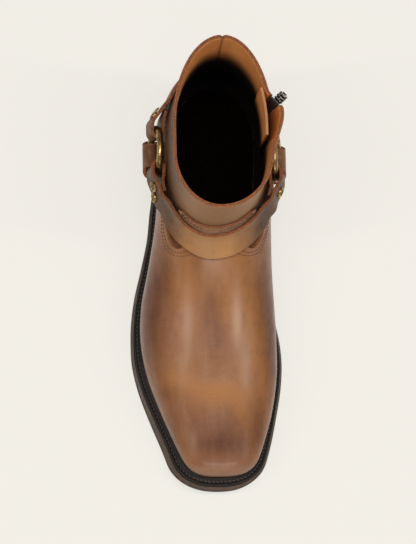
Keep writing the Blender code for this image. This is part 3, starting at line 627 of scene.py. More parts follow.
RAW_EDGE = cut_edge("raw_cut_edge", (0.36, 0.115, 0.030), (0.11, 0.034, 0.014))
LINING = lining_leather("lining_leather", (0.74, 0.31, 0.088), (0.84, 0.39, 0.13))
GUARD_EDGE = lining_leather("guard_edge", (0.30, 0.115, 0.033), (0.38, 0.16, 0.05))
WELT_STAIN = dressed_edge("welt_stain", (0.008, 0.006, 0.005), (0.030, 0.021, 0.016), 0.55, 700,
                          coat=0.05, shine=0.2)
SEAM_LINE = dressed_edge("welt_seam_line", (0.09, 0.028, 0.014), (0.15, 0.055, 0.03), 0.6)
SOLE_EDGE = dressed_edge("sole_edge_dressing", (0.040, 0.030, 0.026), (0.115, 0.094, 0.082), 0.38, 300,
                         (1, 0.25, 2))
SOLE_FACE = dressed_edge("sole_face", (0.075, 0.048, 0.032), (0.14, 0.09, 0.06), 0.5, 120)
HEEL_STACK = dressed_edge("heel_stack", (0.075, 0.040, 0.024), (0.16, 0.09, 0.052), 0.42, 160, (1, 1, 9))
HEEL_RUBBER = dressed_edge("heel_rubber", (0.020, 0.019, 0.018), (0.05, 0.047, 0.045), 0.7, 600, coat=0.0)
# The insole's near-black colour is painted shade of the deep inside of the boot
INSOLE_PAINTED_SHADE = dressed_edge("insole_painted_shade", (0.0025, 0.0015, 0.001), (0.005, 0.003, 0.002), 0.95, 300,
                           coat=0.0, shine=0.0)
BRASS = aged_metal("aged_brass", (0.46, 0.31, 0.13), (0.13, 0.085, 0.038), 0.30)
DARK_BRASS = aged_metal("dark_brass", (0.22, 0.17, 0.10), (0.06, 0.045, 0.03), 0.42)
NICKEL = aged_metal("antique_nickel", (0.20, 0.18, 0.155), (0.05, 0.042, 0.036), 0.34)
TAPE = woven("zip_tape_weave", (0.018, 0.015, 0.014), (0.05, 0.045, 0.042))
WELT_THREAD = thread("welt_thread", (0.075, 0.062, 0.053), (0.014, 0.011, 0.009))
BROWN_THREAD = thread("brown_thread", (0.15, 0.062, 0.026), (0.06, 0.024, 0.012))
print("finishes:", len(bpy.data.materials))

# %% [markdown]
# ## The shaft, with its raw collar and the slot for the zip
#
# The shaft and the foot behind the vamp are one hollow wall: the leather outside, the lining inside, and
# between them a fine line at the collar, because the two were cut together and left raw. A Solidify
# modifier could give a plain sheet its thickness, but it can't give the rim its own profile, so the wall
# is drawn as rings that climb outside, turn over the rim and go down inside.

# %% The shaft
def back_seam(points, level):
    """The closed seam down the back: a fine trough, and a small notch in the rim."""
    x = points[:, 0] - read(RIDGE, "x", points[:, 1])
    behind = np.clip((10 - points[:, 1]) / 20, 0, 1) > 0
    points[:, 1] += np.where(behind, 0.55 * np.exp(-(x / 0.8) ** 2), 0)
    if level >= COLLAR:
        points[:, 2] -= np.where(behind, 2.2 * np.clip(1 - np.abs(x) / 2.4, 0, 1), 0)
    return points


# Soft troughs where the ankle bends, in side view and mm: where, how long, how wide, which way, how deep
CREASES = table("y z long wide turn deep", [
    (62, 118, 26, 3.5, 0.55, 0.55),
    (56, 131, 24, 3.0, 0.50, 0.45),
    (66, 146, 18, 4.0, 0.25, 0.35),
    (-14, 112, 18, 3.5, -0.35, 0.50),
    (-12, 126, 16, 3.5, -0.30, 0.40),
    (30, 160, 30, 9.0, 0.15, 0.35),
])


def crease(points):
    """Presses the ankle's creases into both sides of the wall."""
    y, z = points[:, 1], points[:, 2]
    deep = np.zeros(len(points))
    for cy, cz, long, wide, turn, most in zip(*CREASES.values()):
        a = (y - cy) * math.cos(turn) + (z - cz) * math.sin(turn)
        b = -(y - cy) * math.sin(turn) + (z - cz) * math.cos(turn)
        deep += most * np.exp(-(a / long) ** 2 - (b / wide) ** 2)
    x = points[:, 0] - read(RIDGE, "x", y)
    # The creases fade out towards the back and front lines
    points[:, 0] -= np.sign(x) * deep * np.clip(np.abs(x) / 20, 0, 1)
    return points


SHAFT_COLUMNS = 85
# Over the rim: how far in, how far down, and whether a face that starts there is leather, raw edge or lining
RIM = [(0.0, 0.45, 1), (0.3, 0.05, 1), (1.15, 0.0, 1), (1.33, 0.55, 1), (1.5, 0.1, 1), (2.1, 0.12, 1),
       (2.4, 0.6, 2)]
rings, kinds = [], []
for level in np.concatenate([np.arange(0, 9, 0.25), np.arange(9, COLLAR, 0.125)]):
    rings.append(crease(back_seam(ring_of(level, 0.0, SHAFT_COLUMNS), level)))
    kinds.append(0)
for inset, down, kind in RIM:
    rim = back_seam(ring_of(COLLAR, -inset, SHAFT_COLUMNS), COLLAR)
    rim[:, 2] -= down
    rings.append(rim)
    kinds.append(kind)
for level in np.arange(COLLAR - 0.25, -0.1, -0.5):
    rings.append(ring_of(max(level, 0), -WALL, SHAFT_COLUMNS))
    kinds.append(2)
around = len(rings[0])
shaft = piece("upper", np.vstack(rings), hoops(len(rings), around, True), [SHAFT_LEATHER, RAW_EDGE, LINING],
              np.repeat(kinds, around), instead_of=["upper"], slot="shaft_leather", angle=50)
# The knife for the zip's slot: it starts over the collar and ends in a half circle at the foot
over, foot, half = ZIP_TOP[1] + 10, ZIP_FOOT[1], ZIP_SLOT / 2
turn = np.linspace(math.pi, 2 * math.pi, 9)
slot_end = [(zip_y(foot) + half * math.cos(a), foot + half * math.sin(a)) for a in turn]
slot_line = [(zip_y(over) - half, over)] + slot_end + [(zip_y(over) + half, over)]
cut_to(shaft, slot_line, -70, -8, "DIFFERENCE", RAW_EDGE, 50)


def shaft_shade_and_darkening(x, y, z):
    """Darker low down and along the zip's front edge, and darker on both sides as painted shade."""
    counter = 0.75 * (1 - ease((z - 45) / 30))
    zip_edge = 0.5 * np.exp(-((y - zip_y(z) - 4) / 6) ** 2) * (x < -20)
    # Painted shade: both sides of the shaft are darkened
    sides = 0.5 * ease((np.abs(x) - 22) / 12)
    return np.clip(counter + zip_edge + sides, 0, 1)


mark(shaft, "cream_and_shade", shaft_shade_and_darkening)
mark(shaft, "seam", lambda x, y, z: 0.75 * np.exp(-((x - read(RIDGE, "x", y)) / 0.7) ** 2) * (y < 0))
mark(shaft, "stretch", lambda x, y, z: 0.85 * ease((z - 90) / 40) * ease((y - 40) / 45))
print(*size_of(shaft))

# %% [markdown]
# ## The vamp
#
# The vamp is one piece from the tongue to the toe, drawn tight over the last. Its knife line runs over
# the tongue, down under the front strap, round a small scallop, and back under the strap to the rings. A
# shell over the last is cut with that line, so its edge is square and raw, as a clicked edge is. Its form
# is set first: the toe has a flat top with soft shoulders, the ball has a shallow dip, and fine
# folds lie where the instep bends.

# %% The vamp's knife line and its form
VAMP_EDGE = [
    (112, 111.5), (80, 111.0), (76.2, 109.2), (74.8, 105.5), (76.5, 101), (86, 91.5), (94, 85.0),
    (97.2, 80.6), (97.0, 76.8), (93.5, 74.6), (87, 74.0), (80, 75.0), (72, 77.6), (64, 77.0),
    (56, 73.0), (47, 69.0), (38, 63.0), (34, 54.0),
]
VAMP_CORNERS = [(33, 0), (33, -30), (300, -30), (300, 111.5)]


def through(points, steps=8):
    """A smooth line through points."""
    p = np.asarray(points, float)
    rows = {"u": np.arange(len(p), dtype=float), "a": p[:, 0], "b": p[:, 1]}
    u = np.linspace(0, len(p) - 1, (len(p) - 1) * steps + 1)
    return np.stack([read(rows, "a", u, "u"), read(rows, "b", u, "u")], 1)


# Soft troughs (negative) and ridges of the stretched leather, in mm: where, how long, how wide, how high
FOLDS = table("x y long wide turn high", [
    (3, 152, 9, 34, 0.05, -0.9),
    (-14, 152, 6, 30, 0.08, 0.45),
    (23, 154, 6, 30, -0.06, 0.45),
    (-1, 236, 15, 9, 0.0, -0.6),
    (19, 234, 4, 10, 0.35, 0.3),
    (-19, 236, 4, 10, -0.35, 0.3),
    (20, 186, 15, 6, 0.3, -0.5),
    (-18, 184, 14, 6, -0.3, -0.45),
    (2, 206, 20, 10, 0.0, 0.25),
    (14, 128, 24, 4, 1.1, -0.5),
    (-12, 122, 22, 4, -1.2, -0.45),
    (32, 138, 18, 6, 0.9, -0.5),
    (-29, 134, 16, 6, -0.9, -0.45),
])


def fold_height(x, y):
    """How far the leather stands up at a place from above."""
    total = np.zeros_like(x)
    for fx, fy, long, wide, turn, high in zip(*FOLDS.values()):
        a = (x - fx) * math.cos(turn) + (y - fy) * math.sin(turn)
        b = -(x - fx) * math.sin(turn) + (y - fy) * math.cos(turn)
        total += high * np.exp(-(a / long) ** 2 - (b / wide) ** 2)
    return total


VAMP_COLUMNS = 105
# The levels lie closer together low down, where the toe turns over
vamp_levels = np.concatenate([np.arange(1, 11, 0.2), np.arange(11, 14.01, 0.25)])
outside = [ring_of(level, VAMP_OUT, VAMP_COLUMNS) for level in vamp_levels]
inside = [ring_of(level, VAMP_IN, VAMP_COLUMNS) for level in vamp_levels[::-1]]
sheet = np.array(outside)
normal = np.cross(np.gradient(sheet, axis=1), np.gradient(sheet, axis=0))
normal /= np.linalg.norm(normal, axis=2, keepdims=True) + 1e-9
# Only the top of the foot takes the folds, from the instep forwards
top_only = np.clip(normal[..., 2:], 0, 1) * ease((sheet[..., 1:2] - 85) / 25)
sheet += normal * fold_height(sheet[..., 0], sheet[..., 1])[..., None] * top_only
rings = list(sheet) + inside
around = len(rings[0])
vamp = piece("vamp", np.vstack(rings), hoops(len(rings), around, True), [VAMP_LEATHER], instead_of=["vamp"],
             slot="vamp_leather", angle=50)
edge_line = through(VAMP_EDGE)
cut_to(vamp, [tuple(p) for p in edge_line] + VAMP_CORNERS, -90, 90, "INTERSECT", RAW_EDGE, 50)
print(*size_of(vamp))

# %% [markdown]
# ## Rubbed cream, stretched hide, painted shade and painted highlights on the vamp
#
# Dark cream sits on the toe, and the vamp is darker low down along the welt. Painted shade darkens the
# sides under the straps and the middle trough of the instep. Behind the toe lies an orange bloom where the
# leather is stretched most, and pale painted highlights run up each side of the instep and along the
# toe's shoulders. Each is a soft patch with a place and size of its own in mm.

# %% Where the vamp is dark, warm and pale
def patches(rows):
    """Soft round patches from above, in mm: where, how wide and long, and how strong."""
    spots = table("x y wide long share", rows)

    def value(x, y, z):
        total = np.zeros_like(x)
        for sx, sy, wide, long, share in zip(*spots.values()):
            total += share * np.exp(-((x - sx) / wide) ** 2 - ((y - sy) / long) ** 2)
        return np.clip(total, 0, 1)
    return value


warm_patches = patches([
    (-4, 200, 17, 8, 1.0), (27, 188, 11, 8, 0.7), (12, 196, 26, 9, 0.5), (18, 122, 10, 16, 0.2),
    (-30, 165, 8, 22, 0.15), (4, 102, 20, 6, 0.4), (-20, 120, 7, 16, 0.15),
])
# Painted highlights: pale streaks on both shoulders of the vamp and of the toe, a line along the toe's front
# edge and a patch on the instep
highlight_patches = patches([
    (23, 150, 4, 24, 0.60), (27, 180, 4, 14, 0.30), (-13, 148, 3.6, 22, 0.85),
    (-19, 180, 4, 16, 0.45), (3, 112, 12, 12, 0.35), (19, 234, 3.5, 9, 0.5),
    (-19, 236, 3.5, 9, 0.45), (0, 252, 20, 2.5, 0.35),
])
# Dark cream on the toe; the patches on the sides, under the straps and in the instep's middle trough are
# painted shade
cream_and_shade_patches = patches([
    (-3, 235, 24, 9, 0.90), (-4, 222, 22, 8, 0.35), (33, 222, 6, 20, 0.30), (-29, 218, 7, 18, 0.60),
    (50, 150, 9, 38, 0.75), (5, 146, 7, 22, 0.50), (41, 112, 9, 24, 0.65), (-36, 128, 9, 38, 0.75),
    (-41, 175, 7, 36, 0.65), (6, 172, 7, 12, 0.35), (16, 110, 6, 12, 0.35), (40, 197, 10, 7, 0.45),
    (34, 140, 6, 14, 0.25),
])
mark(vamp, "warmth", warm_patches)
# On the vamp the pale share is painted highlight from these patches, and the tongue is paler above 92 mm
mark(vamp, "stretch", lambda x, y, z: np.clip(highlight_patches(x, y, z) + 0.55 * ease((z - 92) / 8), 0, 1))
# Dark cream and painted shade from the patches, and darker low down towards the welt
mark(vamp, "cream_and_shade", lambda x, y, z: np.clip(cream_and_shade_patches(x, y, z)
                                            + 0.8 * (1 - ease((z - seat_height(y) - 4) / 15)), 0, 1))
print("patches placed on", vamp.name)

# %% [markdown]
# ## Harness straps
#
# Each strap comes over the boot, round the ring's wire and back on itself, where a rivet holds it. So a
# strap is a line in the ring's plane that bends round the wire on one side and settles onto the boot on
# the other. The strap is swept as a grid, and a band with softly rounded raw edges is built round that
# grid.

# %% Rings and the way a strap folds round them
# The straps' thickness, then their clearance from the wall: where it is bare, over the vamp's edge, and
# beside the ring on the way down
STRAP, CLOSE, OVER_VAMP, DOWN = 2.4, 0.8, 2.8, 2.2
RING_WIRE, RING_RADIUS, RING_HEIGHT, RING_TILT, RING_PLAY = 2.4, 16.6, 84.0, math.radians(10.5), 0.5
# Each ring's side of the boot, and its middle along X and Y
RINGS = {"lateral": (1, 44.8, 27.0), "medial": (-1, 42.8, 31.0)}
# How far past the wire a strap has settled on the boot, and over how far it steps off its own turned end
SETTLE, STEP_DOWN = 13.0, 7.0
ACROSS = np.linspace(-1, 1, 11)


class Ring:
    """A ring's place, and points of a strap that folds round it."""

    def __init__(self, name):
        self.side, self.x, self.y = RINGS[name]
        self.z = RING_HEIGHT

    def place(self, a, b, c):
        """A point from the ring's own axes: a along the foot, b up its plane, c out of it."""
        x = self.x - b * math.sin(RING_TILT) + c * math.cos(RING_TILT)
        z = self.z + b * math.cos(RING_TILT) + c * math.sin(RING_TILT)
        return np.stack(np.broadcast_arrays(self.side * x, self.y + a, z), -1)

    def fold(self, angle, h, steps=14):
        """The bend round the wire, from the outer layer to the inner one, at h across the strap."""
        bend = np.linspace(math.pi / 2, 3 * math.pi / 2, steps + 1)
        wire = math.sqrt(RING_RADIUS ** 2 - h ** 2)
        lift = RING_WIRE + RING_PLAY + STRAP / 2
        t = wire + lift * RING_RADIUS / wire * np.cos(bend)
        return self.place(t * math.cos(angle) - h * math.sin(angle),
                          t * math.sin(angle) + h * math.cos(angle), lift * np.sin(bend))

    def layer(self, angle, t, h, level, outer):
        """A point of the strap past the wire, where it leaves the ring's plane and settles onto the boot."""
        lift = (RING_WIRE + RING_PLAY + STRAP / 2) * (1 if outer else -1)
        p = self.place(t * math.cos(angle) - h * math.sin(angle),
                       t * math.sin(angle) + h * math.cos(angle), lift)
        lie = wall_x(self.side, p[..., 1], p[..., 2], level)
        away = ease((t - RING_RADIUS - RING_WIRE) / SETTLE)
        x = p[..., 0] * (1 - away) + lie * away
        p[..., 0] = self.side * np.maximum(self.side * x, self.side * lie)
        return p


class Strap:
    """A strap where it leaves a ring: its direction, half width and the length that is turned back.

    near and lift are its clearance from the wall, beside the ring and further along.
    """

    def __init__(self, ring, angle, half, turned, near, lift):
        self.ring, self.angle, self.half, self.turned = ring, angle, half, turned
        self.near, self.lift = near, lift

    def lie(self, t):
        """How far off the wall a single layer's middle lies. It rises just past the wire."""
        return STRAP / 2 + self.near + (self.lift - self.near) * float(ease((t - RING_RADIUS - 2) / 10))

    def outer(self, t, u):
        """A point of the outer layer, t along the strap and u across it from -1 to 1."""
        over_its_end = 1 - float(ease((t - RING_RADIUS - self.turned) / STEP_DOWN))
        level = self.lie(t) + (STRAP + GAP) * over_its_end
        return self.ring.layer(self.angle, t, u * self.half(t), level, True)

    def far_end(self, line, u):
        """How far the strap runs at u across it before it meets the boot's front or back line."""
        near, far = 20.0, 110.0
        for _ in range(30):
            t = (near + far) / 2
            h = u * self.half(t)
            y = self.ring.y + t * math.cos(self.angle) - h * math.sin(self.angle)
            z = self.ring.z + t * math.sin(self.angle) + h * math.cos(self.angle)
            inside = float(depth_behind(LINES[line], np.array([y]), np.array([z]))[0][0])
            near, far = (t, far) if inside > -self.lie(far) else (near, t)
        return near

    def folded(self, u, stops):
        """A column of the strap at u across it: its turned end, the bend and the outer layer."""
        wire = math.sqrt(RING_RADIUS ** 2 - (u * self.half(0)) ** 2)
        turned = []
        for part in np.linspace(1, 0.12, 9):
            t = wire + self.turned * part
            turned.append(self.ring.layer(self.angle, t, u * self.half(t), self.lie(t), False))
        bend = self.ring.fold(self.angle, u * self.half(0))[::-1]
        return np.vstack([turned, bend, [self.outer(t, u) for t in stops(wire)]])

    def to_line(self, line, steps=44):
        """The strap from its turned end to the front or back line, as rows along and points across."""
        rise = np.sin(np.linspace(0, math.pi / 2, steps + 1))[1:]
        columns = []
        for u in ACROSS:
            stop = self.far_end(line, u)
            column = self.folded(u, lambda wire: wire + (stop - wire) * rise)
            column[-1, 0] = read(RIDGE, "x", column[-1, 1])
            columns.append(column)
        return np.stack(columns, 1)


def grid_normals(grid):
    normal = np.cross(np.gradient(grid, axis=0), np.gradient(grid, axis=1))
    return normal / (np.linalg.norm(normal, axis=2, keepdims=True) + 1e-9)


def band(name, middle, thick, finishes, round_off=0.5, **more):
    """A strip round a grid of middle points, with rounded edges. finishes are its face and its edge."""
    normal = grid_normals(middle)
    low_side = middle[:, 0] - middle[:, 1]
    high_side = middle[:, -1] - middle[:, -2]
    low_side /= np.linalg.norm(low_side, axis=1, keepdims=True)
    high_side /= np.linalg.norm(high_side, axis=1, keepdims=True)
    half, r = thick / 2, round_off
    corner = [(r, half), (r * 0.3, half - r * 0.3), (0, half - r)]
    corner += [(inset, -up) for inset, up in corner[::-1]]

    def edge(points, normals, side):
        return [points - side * inset + normals * up for inset, up in corner]

    top = [middle[:, j] + normal[:, j] * half for j in range(1, middle.shape[1] - 1)]
    low = [middle[:, j] - normal[:, j] * half for j in range(middle.shape[1] - 2, 0, -1)]
    ring = (top + edge(middle[:, -1], normal[:, -1], high_side) + low
            + edge(middle[:, 0], normal[:, 0], low_side)[::-1])
    grid = np.stack(ring, 1)
    rows, around = grid.shape[:2]
    wide = len(top)
    is_edge = np.zeros(around, int)
    is_edge[wide:wide + 5] = 1
    is_edge[2 * wide + 6:2 * wide + 11] = 1
    faces = hoops(rows, around).tolist()
    kinds = np.tile(is_edge, rows - 1).tolist()
    for start, order in ((0, 1), ((rows - 1) * around, -1)):
        faces.append([start + i for i in range(around)][::order])
        kinds.append(1)
    return piece(name, grid.reshape(-1, 3), faces, finishes, kinds, **more)


lateral, medial = Ring("lateral"), Ring("medial")
print("rings stand at", [(r.side * r.x, r.y, r.z) for r in (lateral, medial)])

# %% [markdown]
# ### The four straps
#
# The front strap crosses the instep from ring to ring, the back one goes round the heel as far as the
# zip, and one strap on each side goes down into the welt. They widen a little where the rivets sit, as
# the real ones do.

# %% The straps
# Half widths of the straps, at a distance from the ring's middle
def front_half(t):
    return 8.8 + 3.2 * ease((t - RING_RADIUS) / 14) - 2.8 * ease((t - 45) / 30)


def back_half(t):
    return 8.8 + 3.2 * ease((t - RING_RADIUS) / 14)


def bottom_half(t):
    return 8.5 + 5.5 * ease((t - RING_RADIUS + 2) / 12)


STRAP_FINISH = [STRAP_LEATHER, RAW_EDGE]
front = {r: Strap(r, math.atan2(10, 101 - r.y), front_half, 20, CLOSE, OVER_VAMP) for r in (lateral, medial)}
first, second = front[lateral].to_line("toe"), front[medial].to_line("toe")
# The halves meet on the ridge. Rows within a hair of it would crease, so they are left out
front_strap = band("front_strap", np.vstack([first[:-4], first[-1:], second[-5::-1]]), STRAP, STRAP_FINISH,
                   instead_of=["front_strap"], slot="strap_leather")

back = Strap(lateral, math.atan2(7, -64), back_half, 14.5, CLOSE, CLOSE)
first = back.to_line("heel")
rest = []
for part in (1 - np.cos(np.linspace(0, math.pi / 2, 28)))[1:]:
    z = first[-1][:, 2] - 1.5 * part
    y = first[-1][:, 1] + (zip_y(z) - ZIP_SLOT / 2 - 5 - first[-1][:, 1]) * part
    rest.append(np.stack([wall_x(-1, y, z, STRAP / 2 + CLOSE), y, z], 1))
back_strap = band("back_strap", np.vstack([first, rest]), STRAP, STRAP_FINISH,
                  instead_of=["back_strap"], slot="strap_leather")

bottom_straps = []
for ring, name in ((lateral, "bottom_strap_lateral"), (medial, "bottom_strap_medial")):
    down = Strap(ring, -math.pi / 2, bottom_half, 13, DOWN, OVER_VAMP)
    columns = []
    for u in ACROSS:
        y = ring.y + u * bottom_half(50)
        stop = (ring.z - seat_height(y) - WELT - 3 * GAP) / math.cos(RING_TILT)
        columns.append(down.folded(u, lambda wire: np.linspace(wire, stop, 21)[1:]))
    bottom_straps.append(band(name, np.stack(columns, 1), STRAP, STRAP_FINISH, instead_of=[name],
                              slot="strap_leather"))
# The front strap is worn warm over the instep and darker towards the rings
mark(front_strap, "warmth", lambda x, y, z: 0.85 * np.exp(-((x - 2) / 17) ** 2) * ease((y - 84) / 12))
mark(front_strap, "stretch", lambda x, y, z: 0.3 * np.exp(-((x - 10) / 9) ** 2) * ease((y - 84) / 12))
mark(front_strap, "cream_and_shade", lambda x, y, z: 0.78 * ease((np.abs(x - 2) - 20) / 14))
mark(back_strap, "cream_and_shade", lambda x, y, z: 0.35 + 0 * x)
for strap in (front_strap, back_strap, *bottom_straps):
    print(*size_of(strap))

# %% [markdown]
# ## Rings and rivets in aged brass
#
# The ring is bent wire, so a round torus is right, with enough sides that its shine runs smoothly. A
# rivet head is turned: a domed rim, a hollow, and the closed end of the tube in its middle. Both are
# profiles that go round an axis.

# %% Rings and rivets
def turned(name, profile, seat, facing, finishes, kinds, sides=36, **more):
    """A round piece from a profile of radius and height about an axis."""
    facing = facing / np.linalg.norm(facing)
    side = np.cross(facing, (0, 1, 0))
    side /= np.linalg.norm(side)
    other = np.cross(facing, side)
    turn = np.linspace(0, 2 * math.pi, sides, endpoint=False)
    around = np.cos(turn)[:, None] * side + np.sin(turn)[:, None] * other
    rings = [seat + facing * height + radius * around for radius, height in profile]
    faces = hoops(len(rings), sides).tolist()
    which = np.repeat(kinds[:len(rings) - 1], sides).tolist()
    faces += [list(range(sides))[::-1], [(len(rings) - 1) * sides + i for i in range(sides)]]
    return piece(name, np.vstack(rings), faces, finishes, which + [kinds[0], kinds[-1]], **more)


RING_SIDES, WIRE_SIDES = 112, 24
for ring, name, body in ((lateral, "ring_lateral", "outer_ring"), (medial, "ring_medial", "inner_ring")):
    a = np.linspace(0, 2 * math.pi, RING_SIDES, endpoint=False)[:, None]
    b = np.linspace(0, 2 * math.pi, WIRE_SIDES, endpoint=False)[None]
    r = RING_RADIUS + RING_WIRE * np.cos(b)
    wire = ring.place(r * np.cos(a), r * np.sin(a), RING_WIRE * np.sin(b) + 0 * a)
    made = piece(name, wire.reshape(-1, 3), hoops(RING_SIDES, WIRE_SIDES, True), [BRASS], body=body,
                 instead_of=[name], slot="brass", angle=80)
    print(*size_of(made))

# A rivet head from its rim to its middle: radius and height, then brass (0) or its dark hollow (1)
RIVET = [(4.1, 0.0), (4.1, 0.55), (3.95, 1.0), (3.6, 1.35), (3.2, 1.5), (2.85, 1.4), (2.6, 1.1), (2.4, 0.75),
         (2.1, 0.6), (1.7, 0.7), (1.2, 0.95), (0.6, 1.1), (0.15, 1.12)]
RIVET_KINDS = [0] * 7 + [1] * 6
RIVET_OFF_STRAP = 0.05
RIVETS = {
    "rivet_lateral_front_1": (front[lateral], 27, 0.1),
    "rivet_lateral_front_2": (front[lateral], 32.5, -0.55),
    "rivet_medial_front": (front[medial], 26.5, -0.2),
    "rivet_lateral_back_1": (back, 25, -0.4),
    "rivet_lateral_back_2": (back, 28, 0.4),
}
for name, (strap, t, u) in RIVETS.items():
    near = np.array([[strap.outer(t + a, u + b) for b in (-0.3, 0.3)] for a in (-4, 4)])
    facing = grid_normals(near)[0, 0]
    facing *= np.sign(facing[0] * strap.ring.side)
    bend = max(0.0, float(((near - strap.outer(t, u)) @ facing).max()))
    seat = strap.outer(t, u) + facing * (STRAP / 2 + RIVET_OFF_STRAP + bend)
    turned(name, RIVET, seat, facing, [BRASS, DARK_BRASS], RIVET_KINDS, instead_of=[name], slot="brass")
print("rivets:", len(RIVETS))

# %% [markdown]
# ## Sole, welt and heel
#
# The welt is a stained strip, sewn to the wall and down to the outsole with a waxed thread that lies in a
# groove. The outsole's edge is trimmed, grooved and burnished. All of it follows one plan of the sole,
# drawn in or out by a few tenths at each height, so rings of points are again the plainest way.

# %% Outlines of the sole
SOLE_COLUMNS = 141


def sole_edge(inset, height, names=("outer", "inner"), ends=SOLE_ENDS, columns=SOLE_COLUMNS):
    """A ring round the sole at an inset. height gives Z from Y."""
    (back_tip, back_depth, back_square), (front_tip, front_depth, front_square) = ends["back"], ends["front"]
    s = (1 - np.cos(np.linspace(0, math.pi, columns))) / 2
    y = back_tip + inset + (front_tip - back_tip - 2 * inset) * s
    r = (rounding(y - back_tip - inset, back_depth, back_square)
         * rounding(front_tip - inset - y, front_depth, front_square))
    middle = read(RIDGE, "x", y) * 0.5
    outer = middle + (read(SOLE, names[0], y) - inset - middle) * r
    inner = middle + (-read(SOLE, names[1], y) + inset - middle) * r
    z = height(y)
    return np.vstack([np.stack([outer, y, z], 1), np.stack([inner, y, z], 1)[-2:0:-1]])


def lid(start, count):
    """Faces across a ring whose two sides stand at the same places along the foot."""
    half = count // 2
    faces = [(start, start + 1, start + count - 1), (start + half - 1, start + half, start + half + 1)]
    last = start + count
    return faces + [(start + i, start + i + 1, last - i - 1, last - i) for i in range(1, half - 1)]


def stack(name, rings, finishes, kinds, lids, **more):
    """A solid through rings. kinds has a finish for each space between rings, lids for its two flat ends."""
    count = len(rings[0])
    faces = hoops(len(rings), count).tolist()
    which = np.repeat(kinds, count).tolist()
    for start, finish in ((0, lids[0]), ((len(rings) - 1) * count, lids[1])):
        new = lid(start, count)
        faces += new
        which += [finish] * len(new)
    return piece(name, np.vstack(rings), faces, finishes, which, **more)


# The outsole's edge from the floor up: inset, height, and 0 for its face, 1 for its side, 2 for the seam line
SIDE = [
    (3.0, 0.0, 0), (1.7, 0.02, 1), (0.75, 0.25, 1), (0.2, 0.8, 1), (0.0, 1.3, 1), (0.0, 3.4, 1),
    (0.15, 3.85, 1), (0.6, 4.25, 1), (1.0, 4.6, 2), (1.15, 5.0, 2), (1.0, 5.35, 2), (0.7, 5.75, 2),
    (0.8, 6.0, 0),
]
rings = [sole_edge(inset, lambda y, up=up: sole_under(y) + up) for inset, up, kind in SIDE]
outsole = stack("outsole", rings, [SOLE_FACE, SOLE_EDGE, SEAM_LINE], [kind for _, _, kind in SIDE[:-1]],
                (0, 0), instead_of=["outsole"], slot="outsole", angle=60)
print(*size_of(outsole))

# %% [markdown]
# ### The welt, its groove and its thread
#
# The thread is what makes a welt read as sewn, so each stitch is real geometry: a short fat strand that
# dips into the groove at both ends. Hundreds of separate objects would be slow, so one mesh holds them
# all.

# %% The welt and its stitches
def at_seat(ring, up):
    """A ring moved to a height over the outsole's top."""
    ring = ring.copy()
    ring[:, 2] = seat_height(ring[:, 1]) + up
    return ring


# The wall's foot as a ring with as many points as the welt's edge
wall_foot = ring_of(1.0, 0.25, SOLE_COLUMNS)
welt_edge = sole_edge(0.0, seat_height, ("welt_outer", "welt_inner"), WELT_ENDS)
# Across the welt from the wall to its edge: share of the way, and height over the seat
ACROSS_WELT = [(0.0, 0.35), (0.97, 0.35), (1.0, 0.8), (1.0, 2.9), (0.985, 3.35), (0.95, 3.7), (0.90, 3.85),
               (0.82, 3.8), (0.76, 3.35), (0.66, 3.2), (0.56, 3.35), (0.50, 3.85), (0.20, 4.0), (0.0, 4.0)]
rings = [at_seat(wall_foot + (welt_edge - wall_foot) * share, up) for share, up in ACROSS_WELT]
welt = piece("welt", np.vstack(rings), hoops(len(rings), len(rings[0]), True), [WELT_STAIN],
             instead_of=["welt"], slot="welt", angle=50)
print(*size_of(welt))


def along(path):
    """Length along a path at each of its points."""
    step = np.linalg.norm(np.diff(path, axis=0), axis=1)
    return np.concatenate([[0], np.cumsum(step)])


def stitches(name, path, facing, pitch, long, thick, finish, dip=0.4, lift=0.0, slant=0.0, **more):
    """Short strands of thread along a path. facing is the leather's normal at each of its points."""
    length = along(path)
    count = int((length[-1] - long) / pitch)
    rings_each, sides = 7, 6
    verts, faces = [], []
    part = np.linspace(-0.5, 0.5, rings_each)
    swell = np.sqrt(np.clip(1 - (2 * part) ** 4, 0.02, 1))
    for k in range(max(count, 1)):
        s = (k + 0.5) * (length[-1] / max(count, 1)) + part * long
        centre = np.stack([np.interp(s, length, path[:, i]) for i in range(3)], 1)
        up = np.stack([np.interp(s, length, facing[:, i]) for i in range(3)], 1)
        up /= np.linalg.norm(up, axis=1, keepdims=True)
        run = np.gradient(centre, axis=0)
        run /= np.linalg.norm(run, axis=1, keepdims=True)
        side = np.cross(run, up)
        height = lift - dip * (2 * np.abs(part)) ** 3
        centre = centre + up * height[:, None] + side * (slant * part)[:, None]
        start = len(verts) * sides
        for j in range(rings_each):
            a = np.linspace(0, 2 * math.pi, sides, endpoint=False)[:, None]
            verts.append(centre[j] + thick / 2 * swell[j] * (np.cos(a) * side[j] + np.sin(a) * up[j]))
        faces.append(hoops(rings_each, sides) + start)
        faces.append(np.array([[start + i for i in (3, 2, 1, 0)], [start + i for i in (5, 4, 3, 0)]]))
        last = start + (rings_each - 1) * sides
        faces.append(np.array([[last + i for i in (0, 1, 2, 3)], [last + i for i in (0, 3, 4, 5)]]))
    return piece(name, np.vstack(verts), np.vstack(faces), [finish], angle=80, **more)


# The thread runs in the groove round the whole welt except behind the heel
THREAD_SHARE, THREAD_UP, THREAD_FROM = 0.66, 3.4, -30
seam = at_seat(wall_foot + (welt_edge - wall_foot) * THREAD_SHARE, THREAD_UP)
path = seam[seam[:, 1] > THREAD_FROM]
welt_seam = stitches("welt_stitches", path, np.tile([0, 0, 1.0], (len(path), 1)), pitch=3.0, long=2.8,
                     thick=1.6, finish=WELT_THREAD, dip=0.7, lift=0.1, slant=0.9, slot="welt")
print(*size_of(welt_seam))
